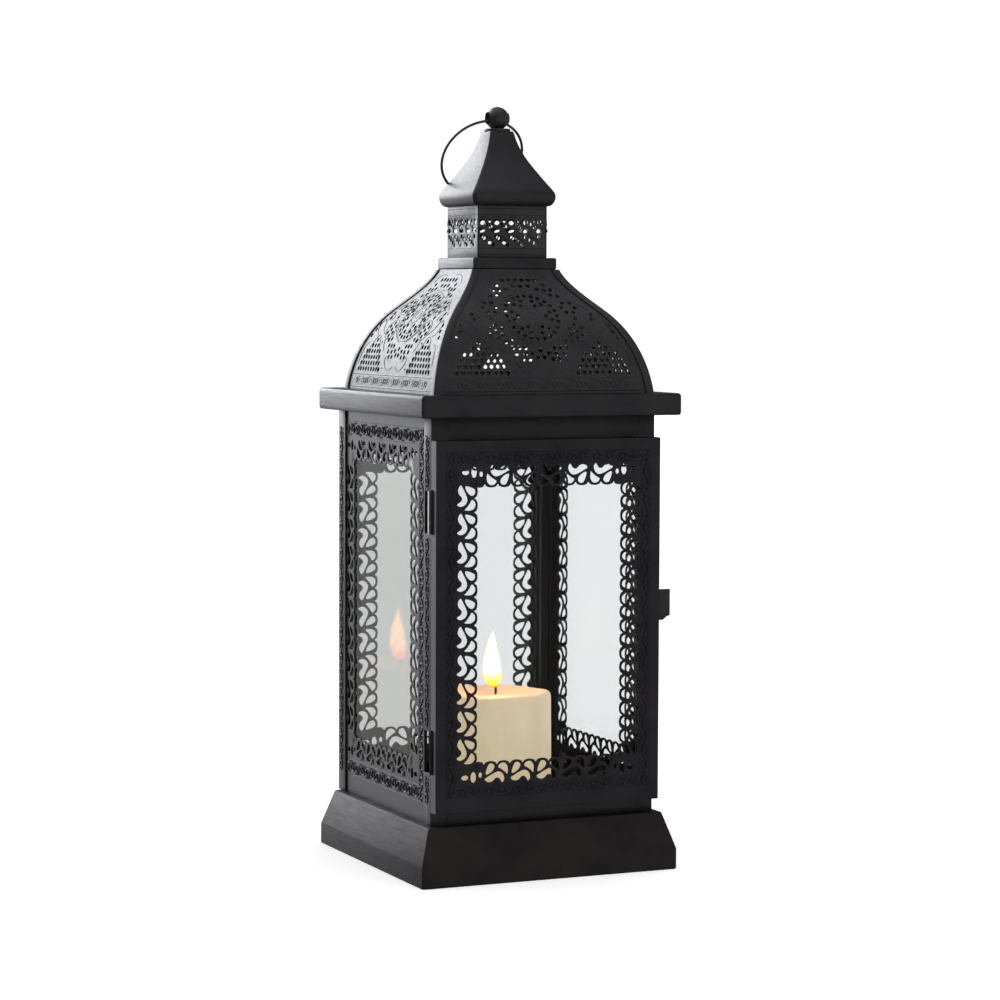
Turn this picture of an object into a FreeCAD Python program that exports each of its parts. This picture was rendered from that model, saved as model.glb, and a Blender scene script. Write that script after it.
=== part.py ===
import FreeCAD, Part
import math
import os
import re

import Sketcher

# A square sheet-metal candle lantern with a hinged glazed door, three glazed filigree sides,
# a perforated ogee roof, a small chimney with a cap, a ring handle and a pillar candle.
# Millimetres, +Z up, the door faces -Y, the origin is at the middle of the footprint on the ground.

Vector = FreeCAD.Vector
Rotation = FreeCAD.Rotation
X_AXIS, Y_AXIS, Z_AXIS = Vector(1, 0, 0), Vector(0, 1, 0), Vector(0, 0, 1)

DIMENSIONS = [
    ("sheet", 0.8, "thickness of the stamped sides, roof panels and chimney"),
    ("frame_sheet", 1.0, "thickness of the folded frame pieces"),
    # base
    ("plinth_half", 72.5, "half width of the plinth's skirt"),
    ("skirt_height", 11.6, "height of the upright skirt"),
    ("plinth_top_half", 66.4, "half width where the plinth's slope ends"),
    ("plinth_top", 29.9, "height of the plinth's deck"),
    ("deck_hole_half", 50.0, "half width of the opening in the deck"),
    ("floor_half", 58.5, "half width of the floor plate"),
    # body
    ("body_half", 63.3, "half width of the body, left to right"),
    ("body_front", 61.2, "distance of the body's front face from the middle"),
    ("body_rear", 68.6, "distance of the body's rear face from the middle"),
    ("post_leg", 9.7, "width of each leg of a corner post"),
    ("overlap", 1.0, "how far a side panel reaches behind a post"),
    ("rail_lap", 8.0, "height of the folded rail above the door"),
    # door
    ("door_half", 63.4, "half width of the door"),
    ("door_bottom", 37.3, "lower edge of the door"),
    ("door_top", 227.1, "upper edge of the door"),
    ("door_front", 68.0, "distance of the door's front face from the middle"),
    ("door_back", 61.5, "distance of the door's folded edge from the middle"),
    # windows and filigree
    ("window_low", 61.0, "lower edge of the door's and rear window"),
    ("window_high", 205.0, "upper edge of the door's and rear window"),
    ("window_half", 42.3, "half width of the door's and rear window"),
    ("side_window_low", 59.5, "lower edge of each side window"),
    ("side_window_high", 211.5, "upper edge of each side window"),
    ("left_window_half", 41.0, "half the width of the left panel's window"),
    ("left_window_high", 213.5, "top edge of the left panel's window"),
    ("left_window_middle", 8.4, "how far the left panel's window sits behind the lantern's middle"),
    ("side_window_half", 38.0, "half width of each side window"),
    ("lobe_depth", 1.9, "how far the filigree's lobes reach into the window"),
    ("lace_pitch", 14.6, "length of one filigree repeat"),
    # glass
    ("glass", 2.0, "thickness of the panes"),
    ("pane_half", 57.0, "half width of the door's and rear pane"),
    ("pane_low", 42.0, "lower edge of the panes"),
    ("pane_high", 221.0, "upper edge of the door's pane"),
    ("side_pane_high", 230.0, "upper edge of the side and rear panes"),
    ("clip_width", 7.0, "width of a glass clip"),
    ("clip_reach", 4.5, "how far a clip covers the pane"),
    ("clip_sheet", 0.5, "thickness of a clip"),
    # hinges and latch
    ("hinge_low", 57.0, "lower end of the lower hinge"),
    ("hinge_high", 179.6, "lower end of the upper hinge"),
    ("hinge_height", 21.6, "height of a hinge"),
    ("hinge_axis", 63.0, "distance of the hinge line in front of the middle"),
    ("knuckle_outer", 1.3, "outer radius of a knuckle"),
    ("knuckle_bore", 0.80, "bore radius of a knuckle"),
    ("pin_radius", 0.75, "radius of a hinge pin"),
    ("leaf_sheet", 0.6, "thickness of a hinge leaf"),
    ("notch_depth", 8.6, "depth of the post's hinge notch, front to back"),
    ("latch_low", 131.4, "lower end of the latch"),
    ("latch_high", 147.6, "upper end of the latch"),
    ("latch_out", 69.9, "how far out the finger tab reaches"),
    ("latch_sheet", 0.7, "thickness of the latch's spring strip"),
    ("latch_gap", 0.3, "clearance of the strip beside the post"),
    ("latch_back", 55.5, "distance of the strip's rear end from the middle"),
    ("rivet_radius", 1.3, "head radius of a latch rivet"),
    ("rivet_shank", 0.7, "shank radius of a latch rivet"),
    # roof
    ("slab_half", 73.2, "half width of the cornice"),
    ("slab_bottom", 238.8, "height of the cornice's underside"),
    ("slab_height", 11.4, "height of the cornice"),
    ("slab_hole_half", 56.0, "half width of the opening in the cornice"),
    ("dome_foot_half", 62.4, "half width of the dome at its foot"),
    ("dome_turn_half", 44.0, "half width of the dome where its curve turns hollow"),
    ("dome_turn_height", 292.0, "height of that turn"),
    ("dome_head_half", 25.0, "half width of the dome under the collar"),
    ("dome_wall", 1.1, "thickness of the dome's wall, measured level"),
    ("dome_hole_radius", 1.3, "radius of a punched hole"),
    ("rib_width", 4.6, "width of each leg of a corner rib"),
    ("collar_half", 23.9, "half width of the collar"),
    ("collar_bottom", 314.2, "height of the collar's underside"),
    ("collar_height", 6.1, "height of the collar"),
    ("chimney_half", 19.9, "half width of the chimney"),
    ("chimney_top", 349.6, "upper edge of the chimney, inside the cap"),
    ("cap_bottom", 347.3, "lower edge of the cap"),
    ("eave_half", 24.0, "half width of the cap's eave"),
    ("eave_height", 352.6, "height of the cap's eave"),
    ("cap_top_half", 6.6, "half width of the cap's flat top"),
    ("cap_top", 387.0, "height of the cap's flat top"),
    # finial and handle
    ("ball_height", 393.0, "height of the ball's centre"),
    ("ball_radius", 7.0, "radius of the ball"),
    ("eye_radius", 2.3, "radius of the cross hole through the ball"),
    ("eye_mouth", 3.7, "radius of the cross hole's flared mouth"),
    ("washer_radius", 7.0, "radius of the washer under the ball"),
    ("washer_height", 1.4, "thickness of that washer"),
    ("stud_radius", 2.0, "radius of the stud under the ball"),
    ("ring_radius", 22.7, "radius of the ring handle's centre line"),
    ("wire_radius", 0.75, "radius of the ring handle's wire"),
    ("ring_lean", 34.0, "angle of the resting ring from straight down, in degrees"),
    ("ring_drop", 0.45, "how far the wire lies below the cross hole's centre line"),
    ("ring_slip", -3.2, "how far the ring has slid through the ball"),
    # candle
    ("candle_radius", 30.0, "radius of the pillar candle"),
    ("candle_height", 59.0, "height of the pillar candle"),
    ("candle_edge", 2.4, "rounding of the candle's upper edge"),
    ("wick_radius", 0.8, "radius of the wick"),
    ("wick_height", 6.5, "height of the wick above the wax"),
]

doc = FreeCAD.newDocument("candle_lantern")
sheet = doc.addObject("Spreadsheet::Sheet", "Dims")
for row, (alias, number, meaning) in enumerate(DIMENSIONS, start=1):
    sheet.set(f"A{row}", meaning)
    sheet.set(f"B{row}", str(number))
    sheet.setAlias(f"B{row}", alias)
doc.recompute()

nodes = []


def bound(text):
    """The expression with every word turned into a cell of the sheet, except the functions."""
    return re.sub(r"\b(?!sin\b|cos\b|atan\b)[a-z][a-z_0-9]*", lambda word: "Dims." + word.group(0), text)


def value(text):
    return float(sheet.evalExpression(bound(text)))


def node(thing, label):
    """Marks a finished piece: its label is the name of its file."""
    thing.Label = label
    nodes.append(thing)
    return thing


# ---------------------------------------------------------------- parametric primitives


def place(thing, base, axis=Z_AXIS, angle=0.0):
    thing.Placement = FreeCAD.Placement(Vector(0, 0, 0), Rotation(axis, angle))
    for letter, text in zip("xyz", base):
        thing.setExpression(f"Placement.Base.{letter}", bound(text))
    return thing


def box(name, low, high):
    """A box between two corners, each given as three expressions."""
    solid = doc.addObject("Part::Box", name)
    for side, start, end in zip(("Length", "Width", "Height"), low, high):
        solid.setExpression(side, bound(f"({end}) - ({start})"))
    return place(solid, low)


def cylinder(name, base, radius, height, axis=Z_AXIS, angle=0.0):
    solid = doc.addObject("Part::Cylinder", name)
    solid.setExpression("Radius", bound(radius))
    solid.setExpression("Height", bound(height))
    return place(solid, base, axis, angle)


def cone(name, base, radius_low, radius_high, height, axis=Z_AXIS, angle=0.0):
    solid = doc.addObject("Part::Cone", name)
    solid.setExpression("Radius1", bound(radius_low))
    solid.setExpression("Radius2", bound(radius_high))
    solid.setExpression("Height", bound(height))
    return place(solid, base, axis, angle)


def fuse(name, pieces):
    joined = doc.addObject("Part::MultiFuse", name)
    joined.Shapes = pieces
    joined.Refine = True
    return joined


def cut(name, base, tools):
    """The base with one tool, or several fused tools, taken away."""
    tool = tools[0] if len(tools) == 1 else fuse(name + "_tools", tools)
    result = doc.addObject("Part::Cut", name)
    result.Base = base
    result.Tool = tool
    return result


def group(name, pieces):
    gathered = doc.addObject("Part::Compound", name)
    gathered.Links = pieces
    return gathered


def shaped(label, shape, placement=None):
    """A piece whose shape is built by code from the sheet's values."""
    piece = doc.addObject("Part::Feature", label)
    piece.Shape = shape
    piece.Placement = placement or FreeCAD.Placement()
    return node(piece, label)


# ---------------------------------------------------------------- sketches and bodies


def origin_plane(body, role):
    return next(plane for plane in body.Origin.OriginFeatures if plane.Role == role)


def sketch_on(body, name, role, lift="0"):
    sketch = body.newObject("Sketcher::SketchObject", name)
    sketch.AttachmentSupport = [(origin_plane(body, role), "")]
    sketch.MapMode = "FlatFace"
    sketch.setExpression("AttachmentOffset.Base.z", bound(lift))
    return sketch


def hold(sketch, kind, geometry, point, text):
    """Ties one point of a sketch to the sketch's origin by an expression."""
    index = sketch.addConstraint(Sketcher.Constraint(kind, -1, 1, geometry, point, value(text)))
    sketch.setExpression(f"Constraints[{index}]", bound(text))


def polygon(body, name, role, corners, lift="0"):
    """A closed polygon whose corners are pairs of expressions."""
    sketch = sketch_on(body, name, role, lift)
    spots = [Vector(value(across), value(up), 0) for across, up in corners]
    for index, spot in enumerate(spots):
        sketch.addGeometry(Part.LineSegment(spot, spots[(index + 1) % len(spots)]), False)
    for index, (across, up) in enumerate(corners):
        following = (index + 1) % len(corners)
        sketch.addConstraint(Sketcher.Constraint("Coincident", index, 2, following, 1))
        hold(sketch, "DistanceX", index, 1, across)
        hold(sketch, "DistanceY", index, 1, up)
    return sketch


def rectangle(body, name, low, high, lift="0"):
    corners = [(low[0], low[1]), (high[0], low[1]), (high[0], high[1]), (low[0], high[1])]
    return polygon(body, name, "XY_Plane", corners, lift)


def circle(body, name, radius, lift="0"):
    sketch = sketch_on(body, name, "XY_Plane", lift)
    sketch.addGeometry(Part.Circle(Vector(0, 0, 0), Z_AXIS, value(radius)), False)
    sketch.addConstraint(Sketcher.Constraint("Coincident", 0, 3, -1, 1))
    index = sketch.addConstraint(Sketcher.Constraint("Radius", 0, value(radius)))
    sketch.setExpression(f"Constraints[{index}]", bound(radius))
    return sketch


def pad(body, name, profile, length, taper=None):
    feature = body.newObject("PartDesign::Pad", name)
    feature.Profile = profile
    feature.setExpression("Length", bound(length))
    if taper:
        feature.setExpression("TaperAngle", bound(taper))
    doc.recompute()
    return feature


def pocket(body, name, profile, length):
    """Cuts along the normal of the sketch's plane, and makes sure that it cut something."""
    before = body.Tip.Shape.Volume
    feature = body.newObject("PartDesign::Pocket", name)
    feature.Profile = profile
    feature.setExpression("Length", bound(length))
    feature.Reversed = True
    doc.recompute()
    if feature.Shape.Volume > before - 0.01:
        raise ValueError(f"{name} cuts nothing")
    return feature


def lowest_face(shape):
    heights = [face.CenterOfMass.z for face in shape.Faces]
    return f"Face{heights.index(min(heights)) + 1}"


# ---------------------------------------------------------------- base


def make_base():
    body = doc.addObject("PartDesign::Body", "base_plinth")
    half = ("-plinth_half", "-plinth_half"), ("plinth_half", "plinth_half")
    pad(body, "skirt", rectangle(body, "skirt_outline", *half), "skirt_height")
    slope = pad(
        body,
        "slope",
        rectangle(body, "slope_outline", *half, lift="skirt_height"),
        "plinth_top - skirt_height",
        "-atan((plinth_half - plinth_top_half) / (plinth_top - skirt_height))",
    )
    shell = body.newObject("PartDesign::Thickness", "plinth_shell")
    shell.Base = (slope, [lowest_face(slope.Shape)])
    shell.Reversed = True
    shell.Join = 1
    shell.setExpression("Value", bound("frame_sheet"))
    doc.recompute()
    hole = ("-deck_hole_half", "-deck_hole_half"), ("deck_hole_half", "deck_hole_half")
    opening = rectangle(body, "deck_outline", *hole, lift="plinth_top - 2 * frame_sheet")
    pocket(body, "deck_opening", opening, "3 * frame_sheet")
    node(body, "base_plinth")

    low = ("-floor_half", "-floor_half", "plinth_top")
    high = ("floor_half", "floor_half", "plinth_top + sheet")
    node(box("floor_plate", low, high), "floor_plate")


# ---------------------------------------------------------------- body frame


def make_post(label, side, end):
    """An L-section corner post. side is - or + along X, end is the signed distance along Y."""
    outward = "-" if end.startswith("-") else ""
    x_out = f"{side}body_half"
    x_in = f"{side}(body_half - frame_sheet)"
    x_leg = f"{side}(body_half - post_leg)"
    y_in = f"{end} - ({outward}frame_sheet)"
    y_leg = f"{end} - ({outward}post_leg)"
    corners = [(x_out, end), (x_leg, end), (x_leg, y_in), (x_in, y_in), (x_in, y_leg), (x_out, y_leg)]
    body = doc.addObject("PartDesign::Body", label)
    outline = polygon(body, label + "_outline", "XY_Plane", corners, "plinth_top")
    pad(body, label + "_pad", outline, "slab_bottom - plinth_top")
    return node(body, label)


def make_posts():
    make_post("corner_post_front_right", "", "-body_front")
    make_post("corner_post_rear_left", "-", "body_rear")
    make_post("corner_post_rear_right", "", "body_rear")
    hinge_post = make_post("corner_post_front_left", "-", "-body_front")
    for place_name, height in (("lower", "hinge_low"), ("upper", "hinge_high")):
        low = ("-body_half - 1", "-body_front - 1")
        high = ("-body_half + frame_sheet + 0.5", "-body_front + notch_depth")
        outline = rectangle(hinge_post, f"{place_name}_notch_outline", low, high, height)
        pocket(hinge_post, f"{place_name}_hinge_notch", outline, "hinge_height")


def make_rails():
    """The plain rail above the door and the sill below it, between the front posts."""
    inner = "body_half - post_leg"
    front, back = "-body_front", "-body_front + frame_sheet"
    rail = box("top_rail_face", (f"-({inner})", front, "door_top - rail_lap"), (inner, back, "slab_bottom"))
    fold_high = (inner, "-body_front + 6", "slab_bottom")
    fold = box("top_rail_fold", (f"-({inner})", back, "slab_bottom - frame_sheet"), fold_high)
    node(fuse("front_top_rail", [rail, fold]), "front_top_rail")
    sill = box("sill_face", (f"-({inner})", front, "plinth_top"), (inner, back, "door_bottom + 3"))
    node(sill, "front_sill")


# ---------------------------------------------------------------- filigree panels

# Each panel is drawn in its own frame: X to the right as seen from outside, Z up, outer face at Y = 0.
# One filigree repeat, as along the left edge of a window: (distance along the edge, distance
# outwards from the window's line). The holes are smooth closed curves through these points.
TEARDROP = [(1.1, 4.9), (1.4, 2.4), (2.8, -0.3), (4.7, -0.5), (6.0, 0.9), (5.2, 2.9), (3.1, 4.5)]
CRESCENT = [(8.0, 1.3), (9.3, -0.4), (11.6, -0.6), (13.4, 1.4), (13.3, 5.2), (11.8, 4.0), (9.8, 2.5)]
COMMA = [
    (0.5, 7.2),
    (2.1, 6.2),
    (4.8, 4.8),
    (7.4, 3.8),
    (9.5, 4.1),
    (11.1, 5.7),
    (11.5, 8.0),
    (10.4, 9.5),
    (9.6, 8.5),
    (8.5, 7.1),
    (6.8, 6.9),
    (5.3, 8.3),
    (3.4, 9.0),
    (1.3, 8.4),
]
# Small oval holes of a corner block: (across from the last repeat, up from the window, half sizes).
CORNER_OVALS = [(2.0, 5.0, 1.0, 1.3), (5.9, 6.0, 1.5, 2.6), (10.6, 6.0, 1.9, 1.2)]


def smooth_loop(points):
    curve = Part.BSplineCurve()
    curve.interpolate(Points=points, PeriodicFlag=True)
    return Part.Wire([curve.toShape()])


def window_edges(half, low, high):
    """The four edges of a window: start, direction along, direction outwards, length."""
    height = high - low
    return [
        (Vector(-half, 0, high), Vector(0, 0, -1), Vector(-1, 0, 0), height),
        (Vector(-half, 0, low), Vector(1, 0, 0), Vector(0, 0, -1), 2 * half),
        (Vector(half, 0, low), Vector(0, 0, 1), Vector(1, 0, 0), height),
        (Vector(half, 0, high), Vector(-1, 0, 0), Vector(0, 0, 1), 2 * half),
    ]


def repeats(length):
    """How many filigree repeats an edge carries, their length, and what is left at each end."""
    pitch = value("lace_pitch")
    count = int(length / pitch + 0.2)
    step = min(pitch, length / count)
    return count, step, (length - count * step) / 2


def lace_holes(half, low, high):
    """The pierced holes round a window, the same repeat turned for each edge."""
    loops = []
    for start, along, outward, length in window_edges(half, low, high):
        count, step, rest = repeats(length)
        stretch = step / value("lace_pitch")
        for index in range(count):
            base = start + along * (rest + index * step)
            for outline in (TEARDROP, CRESCENT, COMMA):
                loops.append(smooth_loop([base + along * (p * stretch) + outward * q for p, q in outline]))
    last = half - repeats(2 * half)[2]
    for across_sign in (-1, 1):
        for corner, up_sign in ((low, -1), (high, 1)):
            for across, up, half_across, half_up in CORNER_OVALS:
                middle = Vector(across_sign * (last + across), 0, corner + up_sign * up)
                turns = [math.radians(60 * turn) for turn in range(6)]
                oval = [Vector(half_across * math.cos(turn), 0, half_up * math.sin(turn)) for turn in turns]
                loops.append(smooth_loop([middle + offset for offset in oval]))
    return loops


def scalloped_window(half, low, high):
    """The window's edge: two rounded lobes for each filigree repeat, and one in a wide rest."""
    edges = []
    depth = value("lobe_depth")
    for start, along, outward, length in window_edges(half, low, high):
        count, step, rest = repeats(length)
        stops = sorted({0.0, length} | {rest + index * step / 2 for index in range(2 * count + 1)})
        stops = [stop for index, stop in enumerate(stops) if index == 0 or stop - stops[index - 1] > 0.01]
        for first, last in zip(stops, stops[1:]):
            ends = start + along * first, start + along * last
            if last - first > 4:
                middle = start + along * ((first + last) / 2) - outward * depth
                edges.append(Part.Arc(ends[0], middle, ends[1]).toShape())
            else:
                edges.append(Part.makeLine(*ends))
    return Part.Wire(edges)


def flat_plate(low, high):
    corners = [Vector(low[0], 0, low[1]), Vector(high[0], 0, low[1])]
    corners += [Vector(high[0], 0, high[1]), Vector(low[0], 0, high[1])]
    return Part.makePolygon(corners + corners[:1])


def filigree_plate(low, high, half, window_low, window_high, middle=0.0):
    """A plate with a scalloped window, whose middle may stand off the plate's own middle."""
    outline = flat_plate(low, high)
    loops = lace_holes(half, window_low, window_high)
    loops.append(scalloped_window(half, window_low, window_high))
    for loop in loops:
        loop.translate(Vector(middle, 0, 0))
    face = Part.Face([outline] + loops)
    face.validate()
    return face.extrude(Vector(0, value("sheet"), 0))


def facing(side, distance, shift=0.0):
    """Where a panel's own frame goes: side is front, left, rear or right."""
    turn = {"front": 0, "right": 90, "rear": 180, "left": -90}[side]
    rotation = Rotation(Z_AXIS, turn)
    return FreeCAD.Placement(rotation.multVec(Vector(shift, -distance, 0)), rotation)


def side_shift(side):
    """How far the middle of a side is from the panel frame's middle, because the body sits back."""
    middle = (value("body_rear") - value("body_front")) / 2
    return {"left": -middle, "right": middle}.get(side, 0.0)


def make_side_panels():
    depth_half = (value("body_rear") + value("body_front")) / 2
    margin = value("post_leg") - value("overlap")
    low, high = value("plinth_top"), value("slab_bottom")
    low_edge = value("side_window_low")
    side_window = value("side_window_half"), low_edge, value("side_window_high")
    left_middle = -value("left_window_middle") + (value("body_rear") - value("body_front")) / 2
    left_window = value("left_window_half"), low_edge, value("left_window_high"), left_middle
    rear_window = value("window_half"), value("window_low"), value("window_high")
    plates = {
        "left": (depth_half, left_window),
        "right": (depth_half, side_window),
        "rear": (value("body_half"), rear_window),
    }
    for side, (half, window) in plates.items():
        reach = half - margin
        plate = filigree_plate((-reach, low), (reach, high), *window)
        outer = value("body_rear") if side == "rear" else value("body_half")
        placement = facing(side, outer - value("frame_sheet"), side_shift(side))
        shaped(f"{side}_panel", plate, placement)


def pane(label, half, low, high, frame):
    """A glass pane whose outer face lies at Y = 0 of a panel's frame."""
    solid = doc.addObject("Part::Box", label)
    solid.setExpression("Length", bound(f"2 * ({half})"))
    solid.setExpression("Width", bound("glass"))
    solid.setExpression("Height", bound(f"({high}) - ({low})"))
    corner = Vector(-value(half), 0, value(low))
    solid.Placement = frame.multiply(FreeCAD.Placement(corner, Rotation()))
    return node(solid, label)


def clips(name, half, low, high, frame):
    """Four bent clips, two above and two below a pane, drawn in the panel's frame."""
    pieces = []
    for across in (f"-({half}) * 0.7", f"({half}) * 0.7 - clip_width"):
        right = f"{across} + clip_width"
        for end, edge, outer, cover in (
            ("low", low, f"{low} - clip_sheet", f"{low} + clip_reach"),
            ("high", high, f"{high} + clip_sheet", f"{high} - clip_reach"),
        ):
            tag = f"{name}_{end}_{len(pieces)}"
            bottom, top = (outer, edge) if end == "low" else (edge, outer)
            foot = box(tag + "_foot", (across, "0", bottom), (right, "glass + clip_sheet", top))
            bottom, top = (outer, cover) if end == "low" else (cover, outer)
            tongue = box(tag + "_tongue", (across, "glass", bottom), (right, "glass + clip_sheet", top))
            pieces.append(fuse(tag, [foot, tongue]))
    gathered = group(name, pieces)
    gathered.Placement = frame
    return node(gathered, name)


def make_side_glass():
    side_half = "(body_rear + body_front) / 2 - 7"
    sizes = {"left": side_half, "right": side_half, "rear": "pane_half"}
    for side, half in sizes.items():
        outer = value("body_rear") if side == "rear" else value("body_half")
        distance = outer - value("frame_sheet") - value("sheet")
        frame = facing(side, distance, side_shift(side))
        pane(f"{side}_glass", half, "pane_low", "side_pane_high", frame)
        clips(f"{side}_glass_clips", half, "pane_low", "side_pane_high", frame)


# ---------------------------------------------------------------- door


RIVET_HEIGHTS = ("latch_low + 4", "latch_high - 4")
RIVET_MIDDLE = "-(door_front + door_back) / 2 + 0.4"


def make_door():
    """A stamped front with four edges folded back, cut away round the hinge knuckles."""
    half, low, high = value("door_half"), value("door_bottom"), value("door_top")
    thick = value("sheet")
    depth = value("door_front") - value("door_back")
    front = filigree_plate(
        (-half, low), (half, high), value("window_half"), value("window_low"), value("window_high")
    )
    outer = Part.makeBox(2 * half, depth, high - low, Vector(-half, 0, low))
    inner = Part.makeBox(
        2 * (half - thick), depth + 1, high - low - 2 * thick, Vector(-half + thick, -0.5, low + thick)
    )
    rim = outer.cut(inner)
    room_depth = value("hinge_axis") + value("knuckle_outer") + 0.3 - value("door_back")
    for height in (value("hinge_low"), value("hinge_high")):
        room_origin = Vector(-half - 1, depth - room_depth, height - 0.2)
        rim = rim.cut(Part.makeBox(thick + 1.6, room_depth + 1, value("hinge_height") + 1.2, room_origin))
    door = front.fuse(rim).removeSplitter()
    for height in RIVET_HEIGHTS:
        spot = Vector(half - 2, value("door_front") + value(RIVET_MIDDLE), value(height))
        door = door.cut(Part.makeCylinder(value("rivet_shank"), 4, spot, X_AXIS))
    shaped("door_panel", door, facing("front", value("door_front")))

    frame = facing("front", value("door_front") - thick)
    pane("door_glass", "pane_half", "pane_low", "pane_high", frame)
    clips("door_glass_clips", "pane_half", "pane_low", "pane_high", frame)


def make_hinge(which, low):
    """Two fixed knuckles on a leaf behind the post, one moving knuckle on a leaf inside the door."""
    x_axis, y_axis = "-body_half", "-hinge_axis"
    third = "hinge_height / 3"
    leaf_in = "-body_half + knuckle_outer"
    leaf_out = f"{leaf_in} - leaf_sheet"

    def knuckle(tag, start, length):
        return cylinder(f"{which}_{tag}", (x_axis, y_axis, start), "knuckle_outer", length)

    def bore(tag):
        return cylinder(f"{which}_{tag}", (x_axis, y_axis, f"{low} - 1"), "knuckle_bore", "hinge_height + 2")

    gap = "0.15"
    lower_knuckle = knuckle("post_knuckle_low", low, f"{third} - {gap}")
    upper_knuckle = knuckle("post_knuckle_high", f"{low} + 2 * {third} + {gap}", f"{third} - {gap}")
    wraps = []
    for tag, start, end in (
        ("low", low, f"{low} + {third} - {gap}"),
        ("high", f"{low} + 2 * {third} + {gap}", f"{low} + hinge_height"),
    ):
        rear = "-body_front + frame_sheet + leaf_sheet"
        wraps.append(box(f"{which}_post_wrap_{tag}", (leaf_out, y_axis, start), (leaf_in, rear, end)))
    leaf_low = (leaf_out, "-body_front + frame_sheet", low)
    leaf_back = "-body_front + frame_sheet + leaf_sheet"
    leaf_high = ("-body_half + post_leg - 0.5", leaf_back, f"{low} + hinge_height")
    leaf = box(f"{which}_post_leaf_plate", leaf_low, leaf_high)
    solid = fuse(f"{which}_post_leaf_solid", [lower_knuckle, upper_knuckle, leaf] + wraps)
    node(cut(f"{which}_hinge_post_leaf", solid, [bore("post_bore")]), f"{which}_hinge_post_leaf")

    middle = knuckle("door_knuckle", f"{low} + {third} + {gap}", f"{third} - 2 * {gap}")
    plate_low = (leaf_out, "-door_front + sheet", f"{low} + {third} + {gap}")
    plate_high = (leaf_in, y_axis, f"{low} + 2 * {third} - {gap}")
    plate = box(f"{which}_door_leaf_plate", plate_low, plate_high)
    solid = fuse(f"{which}_door_leaf_solid", [middle, plate])
    node(cut(f"{which}_hinge_door_leaf", solid, [bore("door_bore")]), f"{which}_hinge_door_leaf")

    shank = cylinder(f"{which}_pin_shank", (x_axis, y_axis, low), "pin_radius", "hinge_height + 0.4")
    head = cone(
        f"{which}_pin_head",
        (x_axis, y_axis, f"{low} + hinge_height"),
        "knuckle_outer",
        "knuckle_outer * 0.6",
        "0.5",
    )
    node(fuse(f"{which}_hinge_pin", [shank, head]), f"{which}_hinge_pin")


def make_latch():
    """A spring strip on the door's right edge that laps the post, with a finger tab and two rivets."""
    side = "door_half"
    strip_out = f"{side} + latch_gap + latch_sheet"
    body = doc.addObject("PartDesign::Body", "latch_clip")
    # Plan outline: flat on the door's edge, a small step out past the post, a turned-out tail.
    corners = [
        (side, "-door_front + 0.6"),
        ("latch_out", "-door_front + 0.6"),
        ("latch_out", "-door_front + 0.6 + latch_sheet"),
        (f"{side} + latch_sheet", "-door_front + 0.6 + latch_sheet"),
        (f"{side} + latch_sheet", "-door_back - 0.8"),
        (strip_out, "-door_back - 0.1"),
        (strip_out, "-latch_back - 1.5"),
        (f"{strip_out} + 1.2", "-latch_back"),
        (f"{strip_out} + 0.5", "-latch_back + 0.5"),
        (f"{side} + latch_gap", "-latch_back - 1.2"),
        (f"{side} + latch_gap", "-door_back + 0.1"),
        (side, "-door_back - 0.6"),
    ]
    outline = polygon(body, "latch_outline", "XY_Plane", corners, "latch_low")
    pad(body, "latch_strip", outline, "latch_high - latch_low")
    slant = [
        (f"{side} + latch_sheet + 0.4", "latch_low - 1"),
        ("latch_out + 1", "latch_low - 1"),
        ("latch_out + 1", "latch_low + 2.4"),
        ("latch_out - 1.6", "latch_low + 1.9"),
    ]
    trim = polygon(body, "latch_slant_outline", "XZ_Plane", slant)
    pocket(body, "latch_slant", trim, "door_front + 2")
    holes = sketch_on(body, "latch_rivet_holes", "YZ_Plane", side + " - 1")
    for index, height in enumerate(RIVET_HEIGHTS):
        centre = Vector(value(RIVET_MIDDLE), value(height), 0)
        holes.addGeometry(Part.Circle(centre, Z_AXIS, value("rivet_shank")), False)
        hold(holes, "DistanceX", index, 3, RIVET_MIDDLE)
        hold(holes, "DistanceY", index, 3, height)
        radius = holes.addConstraint(Sketcher.Constraint("Radius", index, value("rivet_shank")))
        holes.setExpression(f"Constraints[{radius}]", bound("rivet_shank"))
    pocket(body, "latch_rivet_bores", holes, "latch_sheet + 1.2")
    node(body, "latch_clip")

    rivets = []
    for index, height in enumerate(RIVET_HEIGHTS):
        outside = (f"{side} + latch_sheet", RIVET_MIDDLE, height)
        inside = (f"{side} - sheet - 0.6", RIVET_MIDDLE, height)
        shank = cylinder(
            f"latch_rivet_shank_{index}", inside, "rivet_shank", "sheet + latch_sheet + 0.9", Y_AXIS, 90
        )
        head = cone(
            f"latch_rivet_head_{index}", outside, "rivet_radius", "rivet_radius * 0.55", "0.6", Y_AXIS, 90
        )
        tail = cylinder(f"latch_rivet_tail_{index}", inside, "rivet_radius * 0.8", "0.6", Y_AXIS, 90)
        rivets.append(fuse(f"latch_rivet_{index}", [shank, head, tail]))
    node(group("latch_rivets", rivets), "latch_rivets")


# ---------------------------------------------------------------- roof


def channel_ring(label, half, low, height, hole_half):
    """A square ring folded from sheet: top, outer wall and bottom, open towards the middle."""
    top = f"{low} + {height}"
    outer = box(f"{label}_outer", (f"-{half}", f"-{half}", low), (half, half, top))
    hole_low = (f"-{hole_half}", f"-{hole_half}", f"{low} - 1")
    hole = box(f"{label}_hole", hole_low, (hole_half, hole_half, f"{top} + 1"))
    inner = f"({half} - frame_sheet)"
    cavity = box(
        f"{label}_cavity",
        (f"-{inner}", f"-{inner}", f"{low} + frame_sheet"),
        (inner, inner, f"{top} - frame_sheet"),
    )
    node(cut(label, outer, [hole, cavity]), label)


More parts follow.
